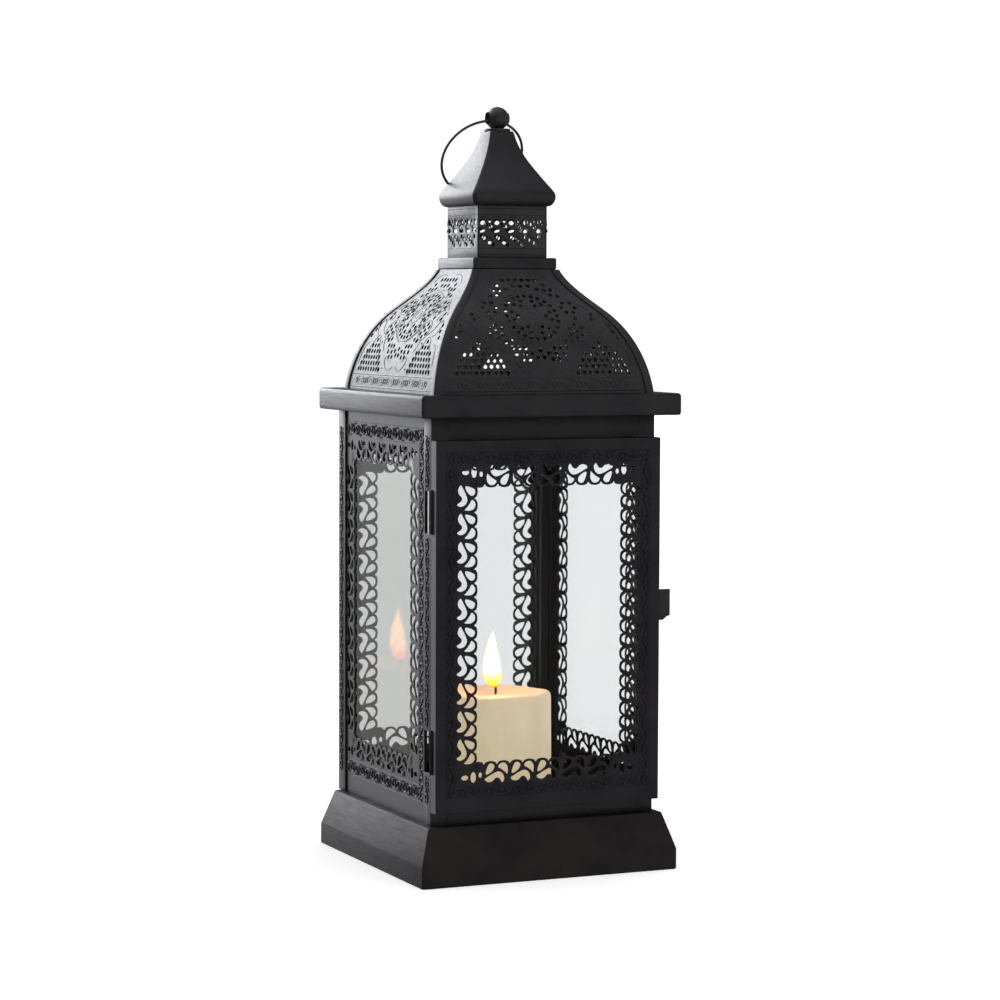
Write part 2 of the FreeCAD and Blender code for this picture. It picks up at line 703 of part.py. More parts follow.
def dome_outline():
    """The dome's two curves in the XZ plane: a full shoulder, then a hollow neck."""
    foot = Vector(value("dome_foot_half"), 0, value("slab_bottom + slab_height"))
    turn = Vector(value("dome_turn_half"), 0, value("dome_turn_height"))
    head = Vector(value("dome_head_half"), 0, value("collar_bottom"))
    slope = Vector(-1, 0, 1).normalize()
    rise = Vector(-0.12, 0, 1).normalize()
    neck = Vector(-0.42, 0, 1).normalize()
    shoulder = Part.BezierCurve()
    shoulder.setPoles([foot, foot + rise * 17, turn - slope * 14, turn])
    hollow = Part.BezierCurve()
    hollow.setPoles([turn, turn + slope * 9, head - neck * 9, head])
    return shoulder, hollow


def moved(curves, across):
    """Copies of curves, moved level towards the middle."""
    copies = []
    for curve in curves:
        copy = curve.copy()
        copy.translate(Vector(-across, 0, 0))
        copies.append(copy)
    return copies


def wall_section(curves, outer, inner):
    """A face in the XZ plane between two level offsets of an outline."""
    outside, inside = moved(curves, outer), moved(curves, inner)
    foot = Part.LineSegment(inside[0].value(0), outside[0].value(0))
    head = Part.LineSegment(outside[-1].value(1), inside[-1].value(1))
    edges = [curve.toShape() for curve in outside + inside + [foot, head]]
    return Part.Face(Part.Wire(Part.sortEdges(edges)[0]))



def swept(face, reach):
    """The face pushed along Y, half to each side."""
    shape = face.extrude(Vector(0, 2 * reach, 0))
    shape.translate(Vector(0, -reach, 0))
    return shape


def turned(shape, degrees):
    copy = shape.copy()
    copy.rotate(Vector(0, 0, 0), Z_AXIS, degrees)
    return copy


def ring_of_holes(middle_across, middle_up, radius, count, start=0.0):
    turns = [math.radians(start + 360 * index / count) for index in range(count)]
    return [(middle_across + radius * math.cos(t), middle_up + radius * math.sin(t)) for t in turns]


def dome_holes():
    """Where one dome panel is punched: (across, distance up the curve from the foot)."""
    holes = ring_of_holes(0, 44.0, 14.5, 24)
    for petal in range(6):
        direction = math.radians(60 * petal)
        for radius, offset in ((8.1, 0), (11.2, -13), (11.2, 13)):
            turn = direction + math.radians(offset)
            holes.append((radius * math.cos(turn), 44.0 + radius * math.sin(turn)))
    half = []
    for row_index, count in enumerate((9, 8, 7, 6, 3, 1)):
        for index in range(count):
            half.append((34.2 + 3.6 * (index - (count - 1) / 2), 11.2 + 3.3 * row_index))
    half += ring_of_holes(22.6, 34.2, 3.9, 6, 30) + [(22.6, 34.2)]
    half += ring_of_holes(22.4, 49.8, 3.9, 6)
    half += [(12.8, 62.7), (16.4, 62.8), (15.2, 59.3), (9.0, 63.4), (19.2, 58.2), (13.2, 66.2)]
    half += [(1.9, 69.4), (5.6, 69.6), (9.4, 69.4), (4.3, 65.6)]
    half += [(34.2, 45.0), (33.6, 41.5), (42.4, 37.4), (43.5, 33.8), (45.9, 30.2), (24.4, 42.2)]
    half += [(18.8, 27.9), (15.3, 28.6), (15.3, 24.8), (11.8, 24.6), (8.3, 24.5), (13.8, 21.3)]
    half += [(8.8, 21.2), (10.5, 18.3), (6.6, 18.3), (4.6, 21.7), (1.8, 19.4)]
    for across, up in half:
        holes += [(across, up), (-across, up)]
    return holes + [(0, 65.4), (0, 23.0)]


def point_on_outline(curves, distance):
    """The point at a distance along the outline, and the outward normal there."""
    for curve in curves:
        length = curve.length()
        if distance <= length:
            break
        distance -= length
    parameter = curve.parameterAtDistance(distance, 0.0)
    tangent = Vector(curve.tangent(parameter)[0])
    return curve.value(parameter), Vector(tangent.z, 0, -tangent.x)


def make_dome():
    curves = dome_outline()
    reach = value("slab_half")
    low, high = value("slab_bottom"), value("cap_bottom")
    wall, rib_wall = value("dome_wall"), value("sheet")
    side_wall = swept(wall_section(curves, rib_wall, rib_wall + wall), reach)
    corners = [Vector(0, 0, low), Vector(reach, -reach, low), Vector(reach, reach, low), Vector(0, 0, low)]
    wedge = Part.Face(Part.makePolygon(corners)).extrude(Vector(0, 0, high - low))
    panel = side_wall.common(wedge)
    punches = []
    for across, distance in dome_holes():
        spot, normal = point_on_outline(curves, distance)
        start = spot + Vector(0, across, 0) - normal * 4
        punches.append(Part.makeCylinder(value("dome_hole_radius"), 7, start, normal))
    panel = panel.cut(Part.makeCompound(punches))
    if panel.ShapeType != "Solid":
        panel = panel.Solids[0]
    for side, degrees in (("right", 0), ("rear", 90), ("left", 180), ("front", 270)):
        shaped(f"dome_panel_{side}", panel, FreeCAD.Placement(Vector(), Rotation(Z_AXIS, degrees)))

    rib_band = swept(wall_section(curves, 0, value("rib_width")), reach)
    column = rib_band.common(turned(rib_band, 90))
    core = swept(wall_section(curves, rib_wall, value("dome_foot_half") + 10), reach)
    core = core.common(turned(core, 90))
    rib = column.cut(core)
    rib = max(rib.Solids, key=lambda solid: solid.CenterOfMass.x + solid.CenterOfMass.y)
    corners = (("rear_right", 0), ("rear_left", 90), ("front_left", 180), ("front_right", 270))
    for corner, degrees in corners:
        shaped(f"dome_rib_{corner}", rib, FreeCAD.Placement(Vector(), Rotation(Z_AXIS, degrees)))


def make_chimney():
    """A square tube with two punched bands: large holes with small ones falling away beside them."""
    half, thick = value("chimney_half"), value("sheet")
    low = value("collar_bottom + collar_height")
    height = value("chimney_top") - low
    tube = Part.makeBox(2 * half, 2 * half, height, Vector(-half, -half, low))
    inside = half - thick
    tube = tube.cut(Part.makeBox(2 * inside, 2 * inside, height + 2, Vector(-inside, -inside, low - 1)))
    motif = [(0, 338.9, 1.6), (2.6, 337.6, 1.0), (4.3, 339.5, 1.0), (4.9, 336.4, 1.0)]
    motif += [(-0.5, 331.4, 1.15), (1.9, 330.0, 1.2), (4.3, 328.4, 1.2), (6.3, 327.0, 1.0)]
    pitch = 8.35
    punches = []
    for index in range(5):
        start = (index - 2) * pitch - 0.5
        for across, up, radius in motif:
            if start + across < half - 3 * thick:
                spot = Vector(start + across, -half - 1, up)
                punches.append(Part.makeCylinder(radius, 2 * half + 2, spot, Y_AXIS))
        oval = Part.Ellipse(Vector(start - 1.0, 334.5, 0), 2.7, 1.2)
        eye = Part.Face(Part.Wire(oval.toShape()))
        eye.rotate(Vector(0, 0, 0), X_AXIS, 90)
        eye.translate(Vector(0, half + 1, 0))
        punches.append(eye.extrude(Vector(0, -2 * half - 2, 0)))
    punches = Part.makeCompound(punches)
    tube = tube.cut(punches).cut(turned(punches, 90))
    shaped("chimney", tube.Solids[0])


def cap_section(inset):
    """Half of the cap's section: lower lip, rolled eave, hollow slope, flat top."""
    lip = Vector(value("chimney_half") + 0.8 - inset, 0, value("cap_bottom"))
    eave = Vector(value("eave_half") - inset, 0, value("eave_height"))
    shoulder = Vector(value("eave_half") - 1.4 - inset, 0, value("eave_height") + 2.8)
    top = Vector(value("cap_top_half") - inset, 0, value("cap_top") - inset)
    waist = Vector(12.1 - inset, 0, 371.4)
    bottom_curve = Part.Arc(lip, Vector(23.1 - inset, 0, 349.4), eave)
    roll = Part.Arc(eave, Vector(eave.x - 0.25, 0, eave.z + 1.5), shoulder)
    slope = Part.Arc(shoulder, waist, top)
    return [bottom_curve, roll, slope], lip, top


def cap_solid(inset):
    curves, lip, top = cap_section(inset)
    axis_low, axis_high = Vector(0, 0, lip.z), Vector(0, 0, top.z)
    edges = [curve.toShape() for curve in curves]
    edges.append(Part.makeLine(top, axis_high))
    edges.append(Part.makeLine(axis_high, axis_low))
    edges.append(Part.makeLine(axis_low, lip))
    quarter = Part.Face(Part.Wire(Part.sortEdges(edges)[0]))
    halves = swept(quarter, value("slab_half"))
    whole = halves.fuse(turned(halves, 180)).removeSplitter()
    return whole.common(turned(whole, 90))


def make_cap():
    shell = cap_solid(0.0).cut(cap_solid(value("sheet")))
    bore = Part.makeCylinder(value("stud_radius"), 20, Vector(0, 0, value("cap_top") - 10), Z_AXIS)
    shaped("cap", shell.cut(bore).Solids[0])


# ---------------------------------------------------------------- finial and ring handle


def make_finial():
    ball = doc.addObject("Part::Sphere", "ball_sphere")
    ball.setExpression("Radius", bound("ball_radius"))
    place(ball, ("0", "0", "ball_height"))
    seat = box("ball_seat", ("-10", "-10", "ball_height - 10"), ("10", "10", "cap_top + washer_height"))
    blind = cylinder("ball_blind_hole", ("0", "0", "cap_top"), "stud_radius", "2.6")
    eye = cylinder("ball_eye", ("-10", "0", "ball_height"), "eye_radius", "20", Y_AXIS, 90)
    flare = "ball_radius - 1.0"
    flares = []
    for side, start, degrees in (("right", "1.5", 90), ("left", "-1.5", -90)):
        foot = (start, "0", "ball_height")
        flares.append(cone(f"ball_flare_{side}", foot, "eye_radius", "eye_mouth", flare, Y_AXIS, degrees))
    node(cut("finial_ball", ball, [seat, blind, eye] + flares), "finial_ball")

    disc = cylinder("washer_disc", ("0", "0", "cap_top"), "washer_radius", "washer_height")
    hole = cylinder("washer_hole", ("0", "0", "cap_top - 1"), "stud_radius", "washer_height + 2")
    node(cut("finial_washer", disc, [hole]), "finial_washer")

    stud = cylinder("finial_stud", ("0", "0", "cap_top - 8"), "stud_radius", "10.6")
    node(stud, "finial_stud")

    body = doc.addObject("PartDesign::Body", "finial_nut")
    turns = [60 * index for index in range(6)]
    corners = [(f"4.0 * cos({turn})", f"4.0 * sin({turn})") for turn in turns]
    outline = polygon(body, "nut_outline", "XY_Plane", corners, "cap_top - sheet - 3.2")
    pad(body, "nut_hexagon", outline, "3.2")
    hole = circle(body, "nut_bore_outline", "stud_radius", "cap_top - 5")
    pocket(body, "nut_bore", hole, "6")
    node(body, "finial_nut")


def make_ring():
    ring = doc.addObject("Part::Torus", "ring_handle")
    ring.setExpression("Radius1", bound("ring_radius"))
    ring.setExpression("Radius2", bound("wire_radius"))
    middle_height = "ball_height - ring_drop - ring_radius * cos(ring_lean)"
    place(ring, ("ring_slip", "ring_radius * sin(ring_lean)", middle_height), X_AXIS, 0)
    ring.Placement.Rotation = Rotation(X_AXIS, value("ring_lean") - 90)
    node(ring, "ring_handle")


# ---------------------------------------------------------------- candle


def make_candle():
    floor = "plinth_top + sheet"
    body = doc.addObject("PartDesign::Body", "candle")
    wax = pad(body, "wax", circle(body, "wax_outline", "candle_radius", floor), "candle_height")
    tops = [edge.CenterOfMass.z if edge.Closed else 0 for edge in wax.Shape.Edges]
    rounding = body.newObject("PartDesign::Fillet", "wax_edge")
    rounding.Base = (wax, [f"Edge{tops.index(max(tops)) + 1}"])
    rounding.setExpression("Radius", bound("candle_edge"))
    doc.recompute()
    bore = circle(body, "wick_hole_outline", "wick_radius", f"{floor} + candle_height - 12")
    pocket(body, "wick_hole", bore, "14")
    node(body, "candle")

    radius = value("wick_radius")
    wax_top = value(f"{floor} + candle_height")
    start = Vector(0, 0, wax_top - 12)
    straight_end = Vector(0, 0, wax_top + 2)
    tip = Vector(-2.2, 0, wax_top + value("wick_height"))
    bend = Part.Arc(straight_end, Vector(-0.6, 0, wax_top + 4.4), tip)
    path = Part.Wire([Part.makeLine(start, straight_end), bend.toShape()])
    profile = Part.Wire([Part.Circle(start, Z_AXIS, radius).toShape()])
    shaped("wick", path.makePipeShell([profile], True, False))


# ---------------------------------------------------------------- build, check, write


def check_document():
    doc.recompute()
    for thing in doc.Objects:
        if "Invalid" in thing.State or "Error" in thing.State:
            raise ValueError(f"{thing.Name} failed: {thing.State}")
    for piece in nodes:
        if piece.Shape.isNull() or not piece.Shape.isValid():
            raise ValueError(f"{piece.Label} has no valid shape")


def write_parts():
    os.makedirs("parts", exist_ok=True)
    for piece in nodes:
        piece.Shape.exportStep(f"parts/{piece.Label}.step")
        print(f"{piece.Label}: {len(piece.Shape.Solids)} solid(s), {piece.Shape.Volume:.1f} mm3")


make_base()
make_posts()
make_rails()
make_side_panels()
make_side_glass()
make_door()
make_hinge("lower", "hinge_low")
make_hinge("upper", "hinge_high")
make_latch()
channel_ring("roof_slab", "slab_half", "slab_bottom", "slab_height", "slab_hole_half")
make_dome()
channel_ring("collar", "collar_half", "collar_bottom", "collar_height", "18.5")
make_chimney()
make_cap()
make_finial()
make_ring()
make_candle()
check_document()
write_parts()
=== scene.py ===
import math

import bmesh
import bpy
from mathutils import Matrix, Vector, geometry


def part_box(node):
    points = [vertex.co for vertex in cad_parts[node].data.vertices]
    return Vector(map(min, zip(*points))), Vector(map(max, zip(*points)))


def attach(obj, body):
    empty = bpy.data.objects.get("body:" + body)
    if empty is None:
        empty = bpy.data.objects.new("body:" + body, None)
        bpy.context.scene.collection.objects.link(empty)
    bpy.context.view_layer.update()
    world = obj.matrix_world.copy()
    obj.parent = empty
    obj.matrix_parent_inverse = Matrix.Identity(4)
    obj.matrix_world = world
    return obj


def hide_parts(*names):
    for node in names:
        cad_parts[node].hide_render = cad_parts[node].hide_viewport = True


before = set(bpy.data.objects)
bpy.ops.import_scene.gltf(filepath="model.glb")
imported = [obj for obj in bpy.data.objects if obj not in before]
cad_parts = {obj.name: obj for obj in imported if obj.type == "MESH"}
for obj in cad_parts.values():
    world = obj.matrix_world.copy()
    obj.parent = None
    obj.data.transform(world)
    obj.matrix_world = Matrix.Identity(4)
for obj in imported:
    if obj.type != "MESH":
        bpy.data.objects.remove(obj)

# The looks of the candle lantern. All shapes are drawn in millimetres and scaled on the way in.

MM = 0.001
SHEET = 0.8
HALF_SHEET = SHEET / 2
PLATE_NORMAL = Vector((0, 0, 1))
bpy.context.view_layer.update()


def box_mm(node):
    low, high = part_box(node)
    return low / MM, high / MM


# ---------------------------------------------------------------- materials


def new_material(name):
    material = bpy.data.materials.new(name)
    material.use_nodes = True
    nodes, links = material.node_tree.nodes, material.node_tree.links
    return material, nodes, links, nodes["Principled BSDF"]


def put(node, **values):
    """Sets inputs by name, with underscores for spaces."""
    for name, value in values.items():
        node.inputs[name.replace("_", " ")].default_value = value


def stretched_noise(nodes, links, scale, stretch, detail=6.0, roughness=0.6):
    """Noise in the object's own millimetres, drawn out along some axes."""
    where = nodes.new("ShaderNodeTexCoord")
    mapping = nodes.new("ShaderNodeMapping")
    put(mapping, Scale=Vector(stretch) / MM)
    noise = nodes.new("ShaderNodeTexNoise")
    put(noise, Scale=scale, Detail=detail, Roughness=roughness)
    links.new(where.outputs["Object"], mapping.inputs["Vector"])
    links.new(mapping.outputs["Vector"], noise.inputs["Vector"])
    return noise.outputs["Fac"]


def ramp(nodes, links, source, stops):
    node = nodes.new("ShaderNodeValToRGB")
    elements = node.color_ramp.elements
    while len(elements) < len(stops):
        elements.new(0.5)
    for element, (position, colour) in zip(elements, stops):
        element.position = position
        element.color = (*colour, 1.0)
    links.new(source, node.inputs["Fac"])
    return node.outputs["Color"]


def spread(nodes, links, source, low, high):
    """A noise value brought to a range."""
    node = nodes.new("ShaderNodeMapRange")
    put(node, From_Min=0.3, From_Max=0.7, To_Min=low, To_Max=high)
    links.new(source, node.inputs["Value"])
    return node.outputs["Result"]


def height_between(nodes, links, low, high):
    """0 to 1 between two heights of the object, given in millimetres."""
    where = nodes.new("ShaderNodeTexCoord")
    split = nodes.new("ShaderNodeSeparateXYZ")
    links.new(where.outputs["Object"], split.inputs["Vector"])
    height = nodes.new("ShaderNodeMapRange")
    put(height, From_Min=low * MM, From_Max=high * MM)
    links.new(split.outputs["Z"], height.inputs["Value"])
    return height.outputs["Result"]


def mixed(nodes, links, first, second, factor=None):
    """Two colours mixed by a factor, or multiplied when there is none."""
    mix = nodes.new("ShaderNodeMix")
    mix.data_type = "RGBA"
    if factor is None:
        mix.blend_type = "MULTIPLY"
        put(mix, Factor=1.0)
    else:
        links.new(factor, mix.inputs["Factor"])
    links.new(first, mix.inputs["A"])
    links.new(second, mix.inputs["B"])
    return mix.outputs["Result"]


def bump(nodes, links, shader, heights, distance):
    """Adds several height sources to a shader as one bump chain."""
    previous = None
    for source in heights:
        node = nodes.new("ShaderNodeBump")
        put(node, Strength=1.0, Distance=distance * MM)
        links.new(source, node.inputs["Height"])
        if previous is not None:
            links.new(previous, node.inputs["Normal"])
        previous = node.outputs["Normal"]
    links.new(previous, shader.inputs["Normal"])


def paint_material(name, streak, dark, light, rough=(0.30, 0.46), gloss=0.5, grain=0.05):
    """Satin black paint with faint brush streaks along one direction and a brown undertone."""
    material, nodes, links, shader = new_material(name)
    patches = stretched_noise(nodes, links, 0.05, (1, 1, 1))
    streaks = stretched_noise(nodes, links, 0.9, streak, 4.0)
    fine = stretched_noise(nodes, links, 3.0, (1, 1, 1), 2.0)
    colour = ramp(nodes, links, patches, [(0.35, dark), (0.65, light)])
    links.new(colour, shader.inputs["Base Color"])
    links.new(spread(nodes, links, streaks, *rough), shader.inputs["Roughness"])
    put(shader, Specular_IOR_Level=gloss)
    bump(nodes, links, shader, [streaks, fine], grain)
    return material


# The streaks run along a part's length: small numbers stretch them, large ones pack them close.
DARK, LIGHT = (0.0058, 0.0053, 0.0068), (0.0115, 0.0095, 0.0105)
LACE_DARK, LACE_LIGHT = (0.0055, 0.0046, 0.0064), (0.0110, 0.0090, 0.0112)
BROWN_DARK, BROWN_LIGHT = (0.0100, 0.0085, 0.0090), (0.0170, 0.0132, 0.0130)
paint_level = paint_material("black_paint_level", (0.06, 0.06, 1.6), DARK, LIGHT, gloss=0.36)
paint_plinth = paint_material(
    "black_paint_plinth", (0.06, 0.06, 1.6), BROWN_DARK, BROWN_LIGHT, (0.36, 0.52), 0.07
)
paint_upright = paint_material("black_paint_upright", (1.2, 1.2, 0.06), DARK, LIGHT, gloss=0.42)
paint_lace = paint_material("black_paint_lace", (1, 1, 1), LACE_DARK, LACE_LIGHT, (0.26, 0.42), 0.26)
paint_roof = paint_material("black_paint_roof", (1, 1, 0.5), DARK, LIGHT, (0.34, 0.50), 0.62)
# The ring's paint runs from black up to a lighter grey than the rest: painted light, standing in for the
# light the thin wire catches from the left.
RING_PAINTED_LIGHT_GREY = (0.030, 0.028, 0.028)
paint_ring = paint_material("black_paint_ring", (1, 1, 1), LIGHT, RING_PAINTED_LIGHT_GREY, (0.3, 0.4), 0.7)
paint_cap = paint_material("black_paint_cap", (1, 1, 0.5), DARK, LIGHT, (0.36, 0.46), 0.44, 0.015)
paint_inside = paint_material("black_paint_inside", (1, 1, 1), LACE_DARK, LACE_LIGHT, (0.5, 0.7), 0.08)
paint_hinge = paint_material("black_paint_hinge", (1, 1, 1), LACE_DARK, LACE_LIGHT, (0.7, 0.85), 0.12)


def worn_material():
    """Paint rubbed thin along an edge, so that brown primer shows in places."""
    material, nodes, links, shader = new_material("worn_edge")
    patches = stretched_noise(nodes, links, 0.35, (1, 1, 0.4))
    stops = [(0.45, LIGHT), (0.58, (0.030, 0.021, 0.018)), (0.72, (0.060, 0.036, 0.028))]
    links.new(ramp(nodes, links, patches, stops), shader.inputs["Base Color"])
    links.new(spread(nodes, links, patches, 0.32, 0.55), shader.inputs["Roughness"])
    bump(nodes, links, shader, [stretched_noise(nodes, links, 2.5, (1, 1, 1), 3.0)], 0.04)
    return material


worn_edge = worn_material()


def glass_material(name, tint, index):
    """Pane glass with the faint waviness and dust of a cheap rolled sheet."""
    material, nodes, links, shader = new_material(name)
    # The tint is partly the glass's own grey and partly painted shade, set pane by pane.
    put(shader, Base_Color=tint, Transmission_Weight=1.0, IOR=index)
    smear = stretched_noise(nodes, links, 0.03, (1, 1, 0.6), 5.0)
    links.new(spread(nodes, links, smear, 0.0, 0.03), shader.inputs["Roughness"])
    bump(nodes, links, shader, [stretched_noise(nodes, links, 0.03, (1, 1, 0.5), 1.0)], 0.02)
    return material


# The same glass on every side, tinted darker on the left pane and lighter elsewhere: painted shade
# standing in for how bright each window shows from this view.
pane_glass = {
    "left": glass_material("left_pane_glass", (0.52, 0.52, 0.505, 1), 1.12),
    "right": glass_material("right_pane_glass", (0.80, 0.82, 0.82, 1), 1.12),
    "rear": glass_material("rear_pane_glass", (0.76, 0.78, 0.78, 1), 1.46),
    "door": glass_material("door_pane_glass", (0.76, 0.77, 0.77, 1), 1.15),
}


def steel_material():
    material, nodes, links, shader = new_material("clip_steel")
    put(shader, Base_Color=(0.30, 0.29, 0.28, 1), Metallic=1.0)
    brushed = stretched_noise(nodes, links, 2.0, (3, 0.2, 0.2), 4.0)
    links.new(spread(nodes, links, brushed, 0.25, 0.45), shader.inputs["Roughness"])
    bump(nodes, links, shader, [brushed], 0.02)
    return material


clip_steel = steel_material()


def wax_material(top):
    """Ivory wax that lets light in, with painted flame light: the colour turns warmer and brighter
    towards the top, and the wax gives off a faint painted glow, a little weaker near the top.
    """
    material, nodes, links, shader = new_material("candle_wax")
    height = height_between(nodes, links, top - 40, top)
    # Painted flame light: the wax colour warms and brightens towards the flame.
    stops = [(0.0, (0.77, 0.71, 0.58)), (0.7, (0.82, 0.73, 0.57)), (1.0, (0.85, 0.71, 0.55))]
    body = ramp(nodes, links, height, stops)
    mottle = stretched_noise(nodes, links, 0.10, (1, 1, 0.4), 6.0)
    tint = ramp(nodes, links, mottle, [(0.35, (0.86, 0.84, 0.82)), (0.65, (1.0, 1.0, 1.0))])
    links.new(mixed(nodes, links, body, tint), shader.inputs["Base Color"])
    put(shader, Subsurface_Weight=0.25, Subsurface_Radius=(1.0, 0.6, 0.3), Subsurface_Scale=0.006)
    # Painted glow: the wax gives off warm light of its own, 0.60 low down falling to 0.46 at the top.
    glow = nodes.new("ShaderNodeMapRange")
    put(glow, To_Min=0.60, To_Max=0.46)
    links.new(height, glow.inputs["Value"])
    put(shader, Emission_Color=(1.0, 0.80, 0.50, 1))
    links.new(glow.outputs["Result"], shader.inputs["Emission Strength"])
    links.new(spread(nodes, links, mottle, 0.38, 0.55), shader.inputs["Roughness"])
    bump(nodes, links, shader, [mottle, stretched_noise(nodes, links, 0.8, (1, 1, 1), 3.0)], 0.15)
    return material


def wick_material():
    material, nodes, links, shader = new_material("wick_cotton")
    char = stretched_noise(nodes, links, 1.5, (1, 1, 1), 4.0)
    colours = ramp(nodes, links, char, [(0.4, (0.010, 0.007, 0.005)), (0.65, (0.070, 0.040, 0.022))])
    links.new(colours, shader.inputs["Base Color"])
    links.new(spread(nodes, links, char, 0.8, 0.95), shader.inputs["Roughness"])
    bump(nodes, links, shader, [char], 0.3)
    return material


def flame_material(low, high):
    """White core, warm rim and a deep orange base, given off as light."""
    material, nodes, links, shader = new_material("flame_glow")
    height = height_between(nodes, links, low, high)
    edge = nodes.new("ShaderNodeLayerWeight")
    put(edge, Blend=0.45)
    core = [(0.0, (0.9, 0.055, 0.003)), (0.10, (0.9, 0.13, 0.010)), (0.22, (1.0, 0.40, 0.060))]
    core += [(0.38, (1.0, 0.60, 0.220)), (1.0, (1.0, 0.45, 0.120))]
    rim = [(0.0, (0.8, 0.05, 0.003)), (0.25, (0.9, 0.12, 0.015)), (1.0, (0.9, 0.20, 0.045))]
    inner = ramp(nodes, links, height, core)
    outer = ramp(nodes, links, height, rim)
    colour = mixed(nodes, links, inner, outer, edge.outputs["Facing"])
    put(shader, Base_Color=(0, 0, 0, 1), Specular_IOR_Level=0.0)
    links.new(colour, shader.inputs["Emission Color"])
    put(shader, Emission_Strength=14.0)
    return material


# ---------------------------------------------------------------- meshes


def new_object(name, mesh, materials, nodes=(), body="lantern"):
    piece = bpy.data.objects.new(name, mesh)
    bpy.context.scene.collection.objects.link(piece)
    for material in materials:
        mesh.materials.append(material)
    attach(piece, body)
    if nodes:
        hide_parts(*nodes)
    return piece


def finish_mesh(name, bm, sharp=35.0):
    """Turns a bmesh drawn in millimetres into a smooth mesh with sharp creases."""
    bmesh.ops.scale(bm, vec=(MM, MM, MM), verts=bm.verts)
    bmesh.ops.recalc_face_normals(bm, faces=bm.faces)
    mesh = bpy.data.meshes.new(name)
    bm.to_mesh(mesh)
    bm.free()
    mesh.shade_smooth()
    mesh.set_sharp_from_angle(angle=math.radians(sharp))
    return mesh


def softened(node, materials, width=0.25, body="lantern"):
    """A CAD node redrawn with rounded, slightly worn edges."""
    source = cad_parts[node]
    bm = bmesh.new()
    bm.from_mesh(source.data)
    for face in bm.faces:
        face.material_index = 0
    bmesh.ops.remove_doubles(bm, verts=bm.verts, dist=0.002 * MM)
    bmesh.ops.dissolve_limit(bm, angle_limit=math.radians(0.6), verts=bm.verts, edges=bm.edges)
    limit = math.radians(35)
    edges = [e for e in bm.edges if len(e.link_faces) == 2 and e.calc_face_angle() > limit]
    worn = 1 if len(materials) > 1 else 0
    shape = {"segments": 2, "profile": 0.5, "affect": "EDGES", "clamp_overlap": True, "material": worn}
    bmesh.ops.bevel(bm, geom=edges, offset=width * MM, **shape)
    bmesh.ops.scale(bm, vec=(1 / MM,) * 3, verts=bm.verts)
    mesh = finish_mesh(node + "_finish", bm)
    new_object(node + "_finish", mesh, materials, [node], body)


def bridge(bm, loops, closed=False):
    """Faces between neighbouring rings of vertices; closed joins the last ring to the first."""
    pairs = list(zip(loops, loops[1:])) + ([(loops[-1], loops[0])] if closed else [])
    for first, second in pairs:
        count = len(first)
        for index in range(count):
            nxt = (index + 1) % count
            bm.faces.new((first[index], first[nxt], second[nxt], second[index]))


def add_box(bm, x0, y0, z0, x1, y1, z1):
    verts = [bm.verts.new((x, y, z)) for x in (x0, x1) for y in (y0, y1) for z in (z0, z1)]
    for quad in ((0, 1, 3, 2), (4, 6, 7, 5), (0, 4, 5, 1), (2, 3, 7, 6), (0, 2, 6, 4), (1, 5, 7, 3)):
        bm.faces.new([verts[index] for index in quad])


def rounded_square(half, radius, steps=4):
    """Points round a square with rounded corners."""
    points = []
    inner = half - radius
    for quarter, (sx, sy) in enumerate(((1, 1), (-1, 1), (-1, -1), (1, -1))):
        for step in range(steps + 1):
            turn = math.radians(90 * quarter + 90 * step / steps)
            points.append((sx * inner + radius * math.cos(turn), sy * inner + radius * math.sin(turn)))
    return points


def loft_square(rings):
    """A square folded sheet through a closed chain of (half width, height, corner radius)."""
    bm = bmesh.new()
    loops = []
    for half, z, radius in rings:
        loops.append([bm.verts.new((x, y, z)) for x, y in rounded_square(half, radius)])
    bridge(bm, loops, True)
    return bm


def lathe(profile, steps=64, wobble=None):
    """A round body from (radius, height) pairs; a radius of zero closes it."""
    bm = bmesh.new()
    loops = []
    for radius, z in profile:
        if radius == 0:
            loops.append([bm.verts.new((0, 0, z))])
            continue
        loop = []
        for step in range(steps):
            turn = 2 * math.pi * step / steps
            extra = wobble(turn, z) if wobble else (0.0, 0.0)
            reach = radius + extra[0]
            loop.append(bm.verts.new((reach * math.cos(turn), reach * math.sin(turn), z + extra[1])))
        loops.append(loop)
    for first, second in zip(loops, loops[1:]):
        for step in range(steps):
            nxt = (step + 1) % steps
            if len(first) == 1:
                bm.faces.new((first[0], second[nxt], second[step]))
            elif len(second) == 1:
                bm.faces.new((first[step], first[nxt], second[0]))
            else:
                bm.faces.new((first[step], first[nxt], second[nxt], second[step]))
    return bm


def oval_points(middle, across, up, steps):
    turns = [2 * math.pi * step / steps for step in range(steps)]
    return [Vector((middle[0] + across * math.cos(t), middle[1] + up * math.sin(t))) for t in turns]


def circle_points(middle, radius, steps):
    return oval_points(middle, radius, radius, steps)


def smooth_closed(points, steps=5):
    """A closed Catmull-Rom curve through points."""
    count = len(points)
    result = []
    for index in range(count):
        before, start = Vector(points[index - 1]), Vector(points[index])
        end, after = Vector(points[(index + 1) % count]), Vector(points[(index + 2) % count])
        for step in range(steps):
            t = step / steps
            a = 2 * start
            b = (end - before) * t
            c = (2 * before - 5 * start + 4 * end - after) * t * t
            d = (3 * start - before - 3 * end + after) * t * t * t
            result.append((a + b + c + d) / 2)
    return result


